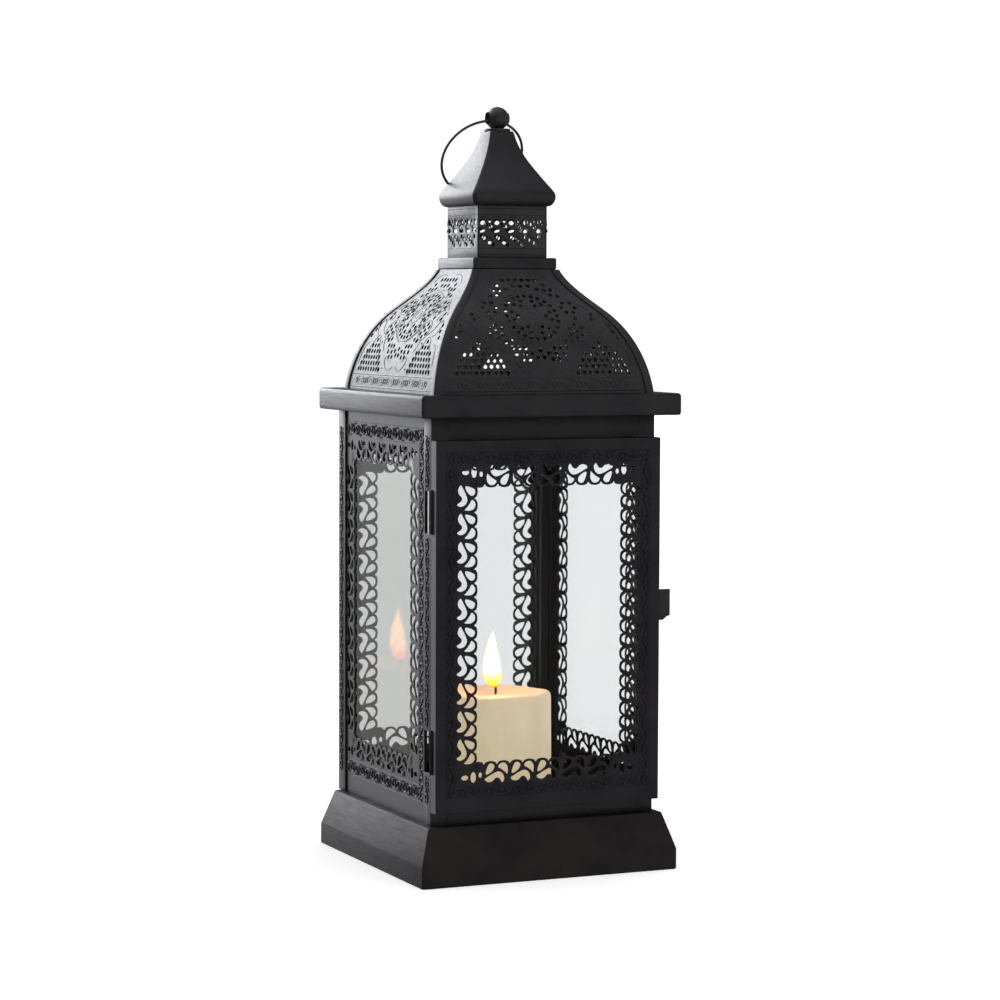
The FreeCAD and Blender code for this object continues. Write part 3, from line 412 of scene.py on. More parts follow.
def smooth_open(points, steps=6):
    """An open Catmull-Rom curve through points."""
    first = Vector(points[0]) * 2 - Vector(points[1])
    last = Vector(points[-1]) * 2 - Vector(points[-2])
    chain = [first] + [Vector(point) for point in points] + [last]
    result = []
    for before, start, end, after in zip(chain, chain[1:], chain[2:], chain[3:]):
        for step in range(steps):
            t = step / steps
            b = (end - before) * t
            c = (2 * before - 5 * start + 4 * end - after) * t * t
            d = (3 * start - before - 3 * end + after) * t * t * t
            result.append((2 * start + b + c + d) / 2)
    return result + [Vector(points[-1])]


def shifted_loop(loop, distance):
    """A closed loop moved to the left of its own direction."""
    spots = []
    for index, spot in enumerate(loop):
        before = (spot - loop[index - 1]).normalized()
        after = (loop[(index + 1) % len(loop)] - spot).normalized()
        side = Vector((-before.y - after.y, before.x + after.x)).normalized()
        lean = max(0.6, side.dot(Vector((-before.y, before.x))))
        spots.append(spot + side * (distance / lean))
    return spots


def signed_area(loop):
    return sum(a.x * b.y - b.x * a.y for a, b in zip(loop, loop[1:] + loop[:1])) / 2


def fill_loops(bm, loops, z):
    """Flat triangles between the first loop and the holes inside it."""
    spots, faces = [], []
    for loop in loops:
        loop = loop if signed_area(loop) > 0 else loop[::-1]
        lengths = [(b - a).length for a, b in zip(loop, loop[1:] + loop[:1])]
        longest = lengths.index(max(lengths))
        loop = loop[longest:] + loop[:longest]
        faces.append(list(range(len(spots), len(spots) + len(loop))))
        spots += loop
    verts, _, triangles, _, _, owners = geometry.delaunay_2d_cdt(spots, [], faces, 1, 0.00001)
    made = [bm.verts.new((spot.x, spot.y, z)) for spot in verts]
    for triangle, owner in zip(triangles, owners):
        if owner == [0]:
            bm.faces.new([made[index] for index in triangle])


def filled_plate(loops, thickness=0.0, edge=0.0):
    """A flat plate in XY with holes and rounded edges: the first loop is the outline."""
    loops = [[Vector((spot[0], spot[1])) for spot in loop] for loop in loops]
    for index, loop in enumerate(loops):
        if (signed_area(loop) > 0) != (index == 0):
            loop.reverse()
    bm = bmesh.new()
    top = thickness / 2
    drawn_in = [shifted_loop(loop, edge) for loop in loops] if edge else loops
    fill_loops(bm, drawn_in, top)
    if not thickness:
        return bm
    fill_loops(bm, drawn_in, -top)
    for loop, inner in zip(loops, drawn_in):
        middle = [a.lerp(b, 0.3) for a, b in zip(loop, inner)]
        levels = [(inner, top), (middle, top - 0.3 * edge), (loop, top - edge)]
        levels += [(spots, -z) for spots, z in reversed(levels)]
        rings = [[bm.verts.new((spot.x, spot.y, z)) for spot in spots] for spots, z in levels]
        for first, second in zip(rings, rings[1:]):
            for step in range(len(loop)):
                nxt = (step + 1) % len(loop)
                bm.faces.new((first[step], second[step], second[nxt], first[nxt]))
    bmesh.ops.remove_doubles(bm, verts=bm.verts, dist=0.0005)
    return bm


def add_bead(bm, spots, normals, width, height, closed=False, sink=0.25):
    """A raised bead along points on a surface, half round, standing on the surface."""
    count = len(spots)
    loops = []
    for index, (spot, normal) in enumerate(zip(spots, normals)):
        if closed:
            ahead, behind = spots[(index + 1) % count], spots[index - 1]
        else:
            ahead, behind = spots[min(index + 1, count - 1)], spots[max(index - 1, 0)]
        side = normal.cross(ahead - behind)
        if side.length < 1e-9:
            side = Vector((1, 0, 0))
        side.normalize()
        taper = 1.0 if closed or 0 < index < count - 1 else 0.35
        ring = []
        for turn in (0, 45, 90, 135, 180):
            angle = math.radians(turn)
            across = math.cos(angle) * width / 2 * taper
            lift = (math.sin(angle) * (height + sink) - sink) * (1 if taper == 1 else 0.6)
            ring.append(bm.verts.new(spot + side * across + normal * lift))
        loops.append(ring)
    pairs = list(zip(loops, loops[1:])) + ([(loops[-1], loops[0])] if closed else [])
    for first, second in pairs:
        for index in range(4):
            bm.faces.new((first[index], first[index + 1], second[index + 1], second[index]))
    if not closed:
        bm.faces.new(loops[0])
        bm.faces.new(loops[-1])


def add_dot(bm, spot, normal, radius, height):
    """A small raised dome on a surface."""
    side = normal.orthogonal().normalized()
    other = normal.cross(side)
    top = bm.verts.new(spot + normal * height)
    rings = []
    for reach, lift in ((0.65, 0.72), (1.0, -0.3)):
        ring = []
        for step in range(8):
            turn = math.pi * step / 4
            across = side * math.cos(turn) + other * math.sin(turn)
            ring.append(bm.verts.new(spot + across * radius * reach + normal * height * lift))
        rings.append(ring)
    for step in range(8):
        nxt = (step + 1) % 8
        bm.faces.new((rings[0][step], rings[0][nxt], top))
        bm.faces.new((rings[1][step], rings[1][nxt], rings[0][nxt], rings[0][step]))


# ---------------------------------------------------------------- filigree panels

# Each panel is drawn flat: X to the right as seen from outside, Y up. One repeat of the filigree is
# given as (distance along the window's edge, distance outwards from the window's line).
TEARDROP = [(1.1, 4.9), (1.4, 2.4), (2.8, -0.3), (4.7, -0.5), (6.0, 0.9), (5.2, 2.9), (3.1, 4.5)]
CRESCENT = [(8.0, 1.3), (9.3, -0.4), (11.6, -0.6), (13.4, 1.4), (13.3, 5.2), (11.8, 4.0), (9.8, 2.5)]
COMMA = [(0.5, 7.2), (2.1, 6.2), (4.8, 4.8), (7.4, 3.8), (9.5, 4.1), (11.1, 5.7), (11.5, 8.0)]
COMMA += [(10.4, 9.5), (9.6, 8.5), (8.5, 7.1), (6.8, 6.9), (5.3, 8.3), (3.4, 9.0), (1.3, 8.4)]
CORNER_OVALS = [(2.0, 5.0, 1.0, 1.4), (5.9, 6.0, 1.6, 2.8), (10.6, 6.0, 2.0, 1.3)]
PITCH = 14.6
LOBE = 1.9


def window_edges(half, low, high):
    """The four edges of a window: start, direction along, direction outwards, length."""
    return [
        (Vector((-half, high)), Vector((0, -1)), Vector((-1, 0)), high - low),
        (Vector((-half, low)), Vector((1, 0)), Vector((0, -1)), 2 * half),
        (Vector((half, low)), Vector((0, 1)), Vector((1, 0)), high - low),
        (Vector((half, high)), Vector((-1, 0)), Vector((0, 1)), 2 * half),
    ]


def repeats(length):
    count = int(length / PITCH + 0.2)
    step = min(PITCH, length / count)
    return count, step, (length - count * step) / 2


def lace_loops(half, low, high):
    """The window's scalloped edge and every pierced hole round it."""
    edge_line, holes = [], []
    for start, along, outward, length in window_edges(half, low, high):
        count, step, rest = repeats(length)
        stretch = step / PITCH
        for index in range(count):
            base = start + along * (rest + index * step)
            for outline in (TEARDROP, CRESCENT, COMMA):
                spots = [base + along * (p * stretch) + outward * q for p, q in outline]
                holes.append(smooth_closed(spots, 4 if outline is COMMA else 5))
        stops = [rest + index * step / 2 for index in range(2 * count + 1)]
        stops = ([0.0] if rest > 0.3 else []) + stops + ([length] if rest > 0.3 else [])
        for first, last in zip(stops, stops[1:]):
            lobe = LOBE if last - first > 2.5 else 0.0
            parts = 8 if lobe else 1
            for part in range(parts):
                t = part / parts
                depth = lobe * math.sqrt(max(0.0, 1 - (2 * t - 1) ** 2))
                edge_line.append(start + along * (first + (last - first) * t) - outward * depth)
    last = half - repeats(2 * half)[2]
    for across_sign in (-1, 1):
        for corner, up_sign in ((low, -1), (high, 1)):
            for across, up, half_across, half_up in CORNER_OVALS:
                middle = Vector((across_sign * (last + across), corner + up_sign * up))
                holes.append(oval_points(middle, half_across, half_up, 14))
    return [edge_line] + holes


def facing(side, distance, shift=0.0):
    """From a flat panel's millimetres to the row's: side is front, left, rear or right."""
    degrees = {"front": 0, "right": 90, "rear": 180, "left": -90}[side]
    turn = Matrix.Rotation(math.radians(degrees), 4, "Z")
    upright = Matrix.Rotation(math.radians(90), 4, "X")
    return turn @ Matrix.Translation((shift, -distance, 0)) @ upright


def band_ornament(bm, start, along, across, length, width, lift):
    """A raised running scroll with leaves and dots along a band, standing lift above the flat panel."""
    count = max(1, round(length / 7.3))
    step = length / count
    base_z = Vector((0, 0, lift))

    def spot(p, q):
        flat = start + along * p + across * (q * width)
        return Vector((flat.x, flat.y, 0)) + base_z

    wave = []
    for index in range(count * 8 + 1):
        p = index * step / 8
        wave.append(spot(p, 0.5 + 0.26 * math.sin(math.pi * p / step)))
    add_bead(bm, wave, [PLATE_NORMAL] * len(wave), 0.85, 0.5)
    for index in range(count):
        sign = 1 if index % 2 == 0 else -1
        middle = (index + 0.5) * step
        curl = [(-1.9, 0.26), (-1.5, -0.12), (0.0, -0.34), (1.4, -0.16), (1.0, 0.08), (0.2, 0.02)]
        spots = [spot(middle + p, 0.5 + sign * q) for p, q in curl]
        spots = smooth_open(spots, 4)
        add_bead(bm, spots, [PLATE_NORMAL] * len(spots), 0.8, 0.46)
        dots = [(-2.4, 0.36, 0.75), (2.6, 0.30, 0.65), (0.4, -0.10, 0.6), (3.4, -0.36, 0.55)]
        for p, q, radius in dots:
            add_dot(bm, spot(middle + p, 0.5 - sign * q), PLATE_NORMAL, radius, 0.5)


def band_frame(bm, half, low, high, width, lift, sides):
    """The running ornament between two beads round a rectangle with inner edges half, low, high."""
    outer = half + width
    left = -outer if "left" in sides else -half
    right = outer if "right" in sides else half
    bottom, top = low - width, high + width
    runs = {
        "left": ((-outer, top), (0, -1), (1, 0), top - bottom),
        "right": ((outer, bottom), (0, 1), (-1, 0), top - bottom),
        "low": ((-half, bottom), (1, 0), (0, 1), 2 * half),
        "high": ((half, top), (-1, 0), (0, -1), 2 * half),
    }
    beads = {
        "left": [((-half, low), (-half, high)), ((-outer, bottom), (-outer, top))],
        "right": [((half, low), (half, high)), ((outer, bottom), (outer, top))],
        "low": [((-half, low), (half, low)), ((left, bottom), (right, bottom))],
        "high": [((-half, high), (half, high)), ((left, top), (right, top))],
    }
    for side in sides:
        start, along, across, length = runs[side]
        band_ornament(bm, Vector(start), Vector(along), Vector(across), length, width, lift)
        for first, last in beads[side]:
            add_bead(bm, [Vector((*first, lift)), Vector((*last, lift))], [PLATE_NORMAL] * 2, 0.65, 0.26)


def curl_ends(bm, half, low, high, lift):
    """The round ball end inside each comma, slightly domed like the stamped original."""
    for start, along, outward, length in window_edges(half, low, high):
        count, step, rest = repeats(length)
        stretch = step / PITCH
        for index in range(count):
            base = start + along * (rest + index * step + 7.5 * stretch) + outward * 8.7
            add_dot(bm, Vector((base.x, base.y, lift)), PLATE_NORMAL, 1.35, 0.35)


def lace_panel(outer, window, band, middle=0.0, sides=("left", "right", "low", "high")):
    """A stamped sheet: outer and window are (half, low, high), band adds the ornament's width."""
    half, low, high = outer
    first, last = -half - middle, half - middle
    outline = [Vector((first, low)), Vector((last, low)), Vector((last, high)), Vector((first, high))]
    bm = filled_plate([outline] + lace_loops(*window), SHEET, 0.2)
    curl_ends(bm, *window, HALF_SHEET)
    if band:
        band_frame(bm, *band, HALF_SHEET, sides)
    bmesh.ops.translate(bm, verts=bm.verts, vec=(middle, 0, 0))
    return bm


def dark_inside(piece, outward):
    """The faces of a panel that look into the lantern get its second, unpolished material."""
    piece.data.materials.append(paint_inside)
    for polygon in piece.data.polygons:
        if polygon.normal.dot(Vector(outward)) < -0.5:
            polygon.material_index = 1


def placed(bm, matrix):
    bmesh.ops.transform(bm, matrix=matrix, verts=bm.verts)
    return bm


# ---------------------------------------------------------------- panels and frame

door_low, door_high = box_mm("door_panel")
left_low, left_high = box_mm("left_panel")
rear_low, rear_high = box_mm("rear_panel")
side_middle = (left_low.y + left_high.y) / 2
side_half = (left_high.y - left_low.y) / 2


def panel_piece(node, panel, body):
    mesh = finish_mesh(node, panel, 18.0)
    return new_object(node + "_finish", mesh, [paint_lace], [node], body)


# Each side panel: its window, its band of ornament, the window's middle, the sides with a band.
windows = {
    "left": ((41.0, 59.5, 213.5), (52.0, 48.6, 224.4, 8.2), side_middle - 8.4, ("right", "low", "high")),
    "right": ((38.0, 59.5, 211.5), (48.8, 49.0, 222.0, 5.6), 0.0, ("left", "right", "low", "high")),
}
for side, (window, band, middle, sides) in windows.items():
    node = side + "_panel"
    low, high = box_mm(node)
    shift = side_middle if side == "right" else -side_middle
    distance = -left_high.x + HALF_SHEET
    panel = lace_panel((side_half, low.z, high.z), window, band, middle, sides)
    placed(panel, facing(side, distance, shift))
    piece = panel_piece(node, panel, "lantern")
    dark_inside(piece, (-1, 0, 0) if side == "left" else (1, 0, 0))

DOOR_WINDOW = (42.3, 61.0, 205.0)
panel = lace_panel((rear_high.x, rear_low.z, rear_high.z), DOOR_WINDOW, None)
placed(panel, facing("rear", rear_high.y - HALF_SHEET))
dark_inside(panel_piece("rear_panel", panel, "lantern"), (0, 1, 0))

panel = lace_panel((door_high.x, door_low.z, door_high.z), DOOR_WINDOW, (52.2, 50.6, 215.4, 5.6))
placed(panel, facing("front", -door_low.y - HALF_SHEET))
# The door's folded rim, cut back at its left edge where the hinge leaves pass.
rim_back, rim_front, notch_back = door_high.y, door_low.y + 0.5, -64.7
hinges = [box_mm(name + "_hinge_post_leaf") for name in ("lower", "upper")]
hinges = sorted((low.z - 0.2, high.z + 1.0) for low, high in hinges)
left_in, right_in = door_low.x + SHEET, door_high.x - SHEET
add_box(panel, right_in, rim_front, door_low.z, door_high.x, rim_back, door_high.z)
for bottom, top in ((door_low.z, door_low.z + SHEET), (door_high.z - SHEET, door_high.z)):
    add_box(panel, left_in, rim_front, bottom, right_in, rim_back, top)
start = door_low.z
for bottom, top in hinges + [(door_high.z, door_high.z)]:
    add_box(panel, door_low.x, rim_front, start, left_in, rim_back, bottom)
    if top > bottom:
        add_box(panel, door_low.x, rim_front, bottom, left_in, notch_back, top)
    start = top
panel_piece("door_panel", panel, "door")

for corner in ("front_left", "front_right", "rear_left", "rear_right"):
    softened("corner_post_" + corner, [paint_upright, worn_edge], 0.3)


def post_ornament():
    """Raised running ornament on the outer side faces of the posts."""
    for side in ("left", "right"):
        bm = bmesh.new()
        for end in ("front", "rear"):
            low, high = box_mm(f"corner_post_{end}_{side}")
            middle = (low.y + high.y) / 2
            along_panel = middle if side == "right" else -middle
            notch = end == "front" and side == "left"
            first, last = 41.0, 229.0
            spans = [(first, last)]
            if notch:
                (low_start, low_end), (high_start, high_end) = hinges
                spans = [(first, low_start - 2), (low_end + 1, high_start - 2), (high_end + 1, last)]
            for bottom, top in spans:
                start = Vector((along_panel - 2.9, bottom))
                band_ornament(bm, start, Vector((0, 1)), Vector((1, 0)), top - bottom, 5.8, 0.0)
        placed(bm, facing(side, 63.3))
        new_object(f"{side}_post_ornament", finish_mesh("ornament", bm), [paint_lace])


post_ornament()
softened("front_top_rail", [paint_level, worn_edge], 0.25)
softened("front_sill", [paint_level, worn_edge], 0.25)
softened("floor_plate", [paint_level], 0.2)
softened("latch_clip", [paint_upright, worn_edge], 0.15, "door")
softened("latch_rivets", [paint_upright], 0.1, "door")
for name in ("upper", "lower"):
    softened(name + "_hinge_post_leaf", [paint_hinge], 0.08)
    softened(name + "_hinge_door_leaf", [paint_hinge], 0.08, "door")
    softened(name + "_hinge_pin", [paint_hinge], 0.08)

for name, body in (("left", "lantern"), ("right", "lantern"), ("rear", "lantern"), ("door", "door")):
    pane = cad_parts[name + "_glass"]
    pane.data.materials.clear()
    pane.data.materials.append(pane_glass[name])
    softened(name + "_glass_clips", [clip_steel], 0.12, body)


# ---------------------------------------------------------------- plinth and cornice


def loft_piece(node, rings, material):
    mesh = finish_mesh(node, loft_square(rings), 30.0)
    new_object(node + "_finish", mesh, [material], [node])


def plinth():
    high = box_mm("base_plinth")[1]
    half, top = high.x, high.z
    outside = [(half - 0.6, 0.0, 0.6), (half, 0.7, 1.0), (half, 10.9, 1.0), (half - 0.25, 11.8, 1.0)]
    outside += [(66.7, 29.2, 1.0), (66.2, 29.75, 0.9), (65.6, top, 0.9)]
    inside = [(50.0, top, 0.4), (50.0, top - 1, 0.4), (64.9, top - 1.1, 0.4), (71.2, 11.4, 0.4)]
    inside += [(71.4, 10.8, 0.4), (71.5, 0.3, 0.4), (71.8, 0.0, 0.4)]
    loft_piece("base_plinth", outside + inside, paint_plinth)


def cornice():
    low, high = box_mm("roof_slab")
    half, bottom, top = high.x, low.z, high.z
    outside = [(half - 1.1, bottom, 1.0), (half - 0.5, bottom + 0.2, 1.2)]
    outside += [(half - 0.1, bottom + 0.9, 1.4), (half, bottom + 2.0, 1.5), (half, top - 2.2, 1.5)]
    outside += [(half - 0.15, top - 1.0, 1.4), (half - 0.6, top - 0.3, 1.3), (half - 1.3, top, 1.2)]
    inside = [(56.0, top, 0.5), (56.0, top - 1, 0.5), (half - 1.0, top - 1, 0.5)]
    inside += [(half - 1.0, bottom + 1, 0.5), (56.0, bottom + 1, 0.5), (56.0, bottom, 0.5)]
    loft_piece("roof_slab", outside + inside, paint_level)


def collar_piece():
    low, high = box_mm("collar")
    half, bottom, top = high.x, low.z, high.z
    outside = [(half - 0.5, bottom, 0.5), (half, bottom + 0.6, 0.7), (half, top - 0.8, 0.7)]
    outside += [(half - 0.3, top - 0.2, 0.7), (half - 0.8, top, 0.6)]
    inside = [(18.5, top, 0.4), (18.5, top - 1, 0.4), (half - 1, top - 1, 0.4)]
    inside += [(half - 1, bottom + 1, 0.4), (18.5, bottom + 1, 0.4), (18.5, bottom, 0.4)]
    loft_piece("collar", outside + inside, paint_level)


def cap_piece():
    high = box_mm("cap")[1]
    eave = [(20.5, 347.35, 1.2), (21.6, 347.6, 1.6), (22.6, 348.4, 2.0), (23.4, 349.7, 2.2)]
    eave += [(23.9, 351.4, 2.3), (23.95, 352.9, 2.3), (23.5, 354.5, 2.1), (22.4, 356.3, 1.7)]
    eave += [(20.7, 358.6, 1.4), (18.8, 361.4, 1.2)]
    slope = [(16.9, 364.3), (15.0, 367.3), (13.1, 370.4), (11.4, 373.5), (9.9, 376.7), (8.6, 380.0)]
    slope += [(7.6, 383.2), (6.95, 386.0), (6.5, 386.95)]
    rings = eave + [(half, z, 1.0) for half, z in slope]
    inner = []
    for half, z, radius in reversed(rings[:-2]):
        inner.append((half - 0.9, z - 0.3 if z > 353 else z, radius - 0.5))
    rings += [(2.1, high.z, 0.3), (2.1, 386.1, 0.3)] + inner
    loft_piece("cap", rings, paint_cap)


plinth()
cornice()
collar_piece()
cap_piece()


# ---------------------------------------------------------------- dome


def bezier(poles, t):
    a, b, c, d = poles
    s = 1 - t
    return a * s**3 + b * (3 * s * s * t) + c * (3 * s * t * t) + d * t**3


def dome_outline():
    """The dome's outline as (half width, height) points, with the distance up the curve."""
    foot, turn, head = Vector((62.4, 250.2)), Vector((44.0, 292.0)), Vector((25.0, 314.2))
    slope = Vector((-1, 1)).normalized()
    rise, neck = Vector((-0.12, 1)).normalized(), Vector((-0.42, 1)).normalized()
    shoulder = (foot, foot + rise * 17, turn - slope * 14, turn)
    hollow = (turn, turn + slope * 9, head - neck * 9, head)
    points = [bezier(shoulder, index / 60) for index in range(60)]
    points += [bezier(hollow, index / 40) for index in range(41)]
    distance, table = 0.0, []
    for index, point in enumerate(points):
        if index:
            distance += (point - points[index - 1]).length
        table.append((distance, point))
    return table


OUTLINE = dome_outline()
DOME_LENGTH = OUTLINE[-1][0]
ROSETTE = 44.0


def on_outline(distance):
    distance = min(max(distance, 0.0), DOME_LENGTH)
    for (d0, p0), (d1, p1) in zip(OUTLINE, OUTLINE[1:]):
        if distance <= d1:
            t = (distance - d0) / (d1 - d0)
            tangent = (p1 - p0).normalized()
            return p0.lerp(p1, t), tangent
    return OUTLINE[-1][1], tangent


def on_dome(across, distance, inset=0.8):
    """A point of the front panel's outer face and its outward normal."""
    point, tangent = on_outline(distance)
    spot = Vector((across, -(point.x - inset), point.y))
    return spot, Vector((0, -tangent.y, -tangent.x)).normalized()


def dome_holes():
    """Where a dome panel is punched: (across, distance up the curve)."""
    holes = [tuple(p) for p in circle_points((0, ROSETTE), 14.5, 24)]
    for petal in range(6):
        for radius, offset in ((8.1, 0), (11.2, -13), (11.2, 13)):
            turn = math.radians(60 * petal + offset)
            holes.append((radius * math.cos(turn), ROSETTE + radius * math.sin(turn)))
    half = []
    for row_index, count in enumerate((9, 8, 7, 6, 3, 1)):
        for index in range(count):
            half.append((34.2 + 3.6 * (index - (count - 1) / 2), 11.2 + 3.3 * row_index))
    for middle, start in (((22.6, 34.2), 30), ((22.4, 49.8), 0)):
        for step in range(6):
            turn = math.radians(start + 60 * step)
            half.append((middle[0] + 3.9 * math.cos(turn), middle[1] + 3.9 * math.sin(turn)))
    half += [(22.6, 34.2), (12.8, 62.7), (16.4, 62.8), (15.2, 59.3), (9.0, 63.4), (19.2, 58.2)]
    half += [(13.2, 66.2), (1.9, 69.4), (5.6, 69.6), (9.4, 69.4), (4.3, 65.6)]
    half += [(34.2, 45.0), (33.6, 41.5), (42.4, 37.4), (43.5, 33.8), (45.9, 30.2), (24.4, 42.2)]
    half += [(18.8, 27.9), (15.3, 28.6), (15.3, 24.8), (11.8, 24.6), (8.3, 24.5), (13.8, 21.3)]
    half += [(8.8, 21.2), (10.5, 18.3), (6.6, 18.3), (4.6, 21.7), (1.8, 19.4)]
    for across, up in half:
        holes += [(across, up), (-across, up)]
    return holes + [(0, 65.4), (0, 23.0)]


def dome_relief(bm):
    """Raised lines of the stamped pattern, drawn on the flat development and laid on the curve."""

    def line(points, width, height=0.3, closed=False):
        spots, normals = zip(*[on_dome(x, s) for x, s in points])
        add_bead(bm, list(spots), list(normals), width, height * 0.6, closed)

    def circle(middle, radius, width=0.7, steps=36):
        line(circle_points(middle, radius, steps), width, 0.3, True)

    def edge_line(s):
        reach = on_outline(s)[0].x - 5.6
        line([(-reach + 2 * reach * index / 30, s) for index in range(31)], 0.9, 0.35)

    def oval(middle, across, up, steps, width):
        line(oval_points((middle, 5.0), across, up, steps), width, 0.3, True)

    edge_line(1.6)
    edge_line(8.4)
    for index in range(-3, 4):
        middle = index * 14.0
        oval(middle, 4.2, 2.3, 20, 0.6)
        oval(middle, 2.0, 1.0, 16, 0.5)
        for sign in (-1, 1):
            if abs(middle + sign * 7) < 54:
                near, peak, far = (middle + sign * reach for reach in (4.6, 5.8, 7.0))
                for height in (6.6, 3.4):
                    line(smooth_open([(near, 5.0), (peak, height), (far, 5.0)], 5), 0.5, 0.28)
    circle((0, ROSETTE), 16.8)
    circle((0, ROSETTE), 12.4, 0.6)
    circle((0, ROSETTE), 5.4, 0.6)
    circle((0, ROSETTE), 2.6, 0.9, 20)
    for petal in range(6):
        turn = math.radians(60 * petal + 30)
        path = []
        for step in range(9):
            t = step / 8
            radius = 5.4 + 6.8 * t
            swing = turn + 0.28 * math.sin(math.pi * t)
            path.append((radius * math.cos(swing), ROSETTE + radius * math.sin(swing)))
        line(path, 0.55)
    for sign in (-1, 1):
        circle((sign * 22.6, 34.2), 6.1, 0.6, 28)
        circle((sign * 22.4, 49.8), 6.0, 0.6, 28)
        circle((sign * 22.4, 49.8), 1.5, 0.7, 14)
        for points in (
            [(3, 26.4), (8, 28.4), (13, 31.6), (16.2, 34.6)],
            [(16, 56.4), (12, 61.0), (6.0, 62.6), (0.6, 61.4)],
            [(28.6, 31.0), (33, 33.6), (35.6, 38.0), (34.8, 42.6), (31.4, 44.0), (29.8, 41.6)]
            + [(31.6, 39.8)],
            [(28.2, 52.0), (31.0, 50.4), (33.4, 47.8)],
            [(20.4, 8.9), (26.0, 20.0), (34.2, 30.6), (42.4, 20.0), (48.4, 9.6)],
            [(36.4, 30.4), (40.4, 33.0), (41.6, 37.2), (39.0, 40.6), (37.0, 38.6)],
            [(19.5, 21.0), (22.6, 24.0), (24.0, 27.6), (21.4, 29.0), (19.4, 26.6)],
            [(2.0, 13.0), (6.5, 10.9), (11.5, 12.4), (14.8, 16.6), (12.4, 18.6), (9.6, 15.8)],
            [(44.0, 26.6), (47.6, 24.0), (49.4, 19.8), (50.6, 14.0)],
            [(5.4, 72.2), (9.6, 72.8), (14.6, 71.4), (18.0, 67.4)],
        ):
            flipped = [(sign * x, s) for x, s in smooth_open([Vector(p) for p in points], 5)]
            line(flipped, 0.6)
        for x, s in ((16.0, 12.0), (27.0, 26.6), (38.0, 44.6), (29.6, 47.6), (11.6, 57.4), (50.6, 24.6)):
            spot, normal = on_dome(sign * x, s)
            add_dot(bm, spot, normal, 0.7, 0.35)


def dome_panel():
    """A punched sheet, cut into level strips so that it follows the curve, then thickened."""
    steps, strips = 30, 46
    inset, hole_radius = 1.0, 1.32
    right = []
    for index in range(steps + 1):
        s = DOME_LENGTH * index / steps
        right.append(Vector((on_outline(s)[0].x - inset, s)))
    outline = right + [Vector((-point.x, point.y)) for point in reversed(right)]
    bm = filled_plate([outline] + [circle_points(hole, hole_radius, 12) for hole in dome_holes()])
    for cut in range(1, strips):
        everything = bm.verts[:] + bm.edges[:] + bm.faces[:]
        level = (0, DOME_LENGTH * cut / strips, 0)
        bmesh.ops.bisect_plane(bm, geom=everything, plane_co=level, plane_no=(0, 1, 0), dist=0.0001)
    bmesh.ops.remove_doubles(bm, verts=bm.verts, dist=0.003)
    outer, normals = {}, {}
    for vert in bm.verts:
        spot, normal = on_dome(vert.co.x, vert.co.y)
        vert.co = spot
        normals[vert] = normal
    for face in bm.faces:
        if face.normal.dot(normals[face.verts[0]]) < 0:
            face.normal_flip()
    duplicate = bmesh.ops.duplicate(bm, geom=bm.verts[:] + bm.edges[:] + bm.faces[:])
    pairs = duplicate["vert_map"]
    for vert, normal in normals.items():
        outer[vert] = pairs[vert]
        pairs[vert].co = vert.co - normal * 0.9
    for face in [item for item in duplicate["geom"] if isinstance(item, bmesh.types.BMFace)]:
        face.normal_flip()
    for edge in [edge for edge in bm.edges if edge.is_boundary and edge.verts[0] in outer]:
        first, second = edge.verts
        bm.faces.new((first, second, outer[second], outer[first]))
    dome_relief(bm)
    return finish_mesh("dome_panel", bm, 40.0)


def turned_copies(base, prefix, places):
    """The same mesh four times, each turned a quarter further round the middle."""
    for quarter, place in enumerate(places):
        mesh = base.copy()
        mesh.transform(Matrix.Rotation(math.radians(90 * quarter), 4, "Z"))
        name = prefix + place
        new_object(name + "_finish", mesh, [paint_roof], [name])


def dome():
    turned_copies(dome_panel(), "dome_panel_", ("front", "right", "rear", "left"))
    rib = bmesh.new()
    steps, width, rounding = 48, 4.5, 0.5
    loops = []
    for index in range(steps + 1):
        point = on_outline(DOME_LENGTH * index / steps)[0]
        half = point.x
        section = [(half - width, half - 0.78), (half - width, half - 0.1), (half - width + 0.25, half)]
        section += [(half - rounding, half), (half - rounding * 0.3, half - rounding * 0.3)]
        section += [(half, half - rounding), (half, half - width + 0.25), (half - 0.1, half - width)]
        section += [(half - 0.78, half - width), (half - 0.78, half - 0.78)]
        loops.append([rib.verts.new((x, y, point.y)) for x, y in section])
    bridge(rib, loops)
    rib.faces.new(loops[0])
    rib.faces.new(loops[-1])
    corners = ("rear_right", "rear_left", "front_left", "front_right")
    turned_copies(finish_mesh("dome_rib", rib, 50.0), "dome_rib_", corners)


dome()


# ---------------------------------------------------------------- chimney


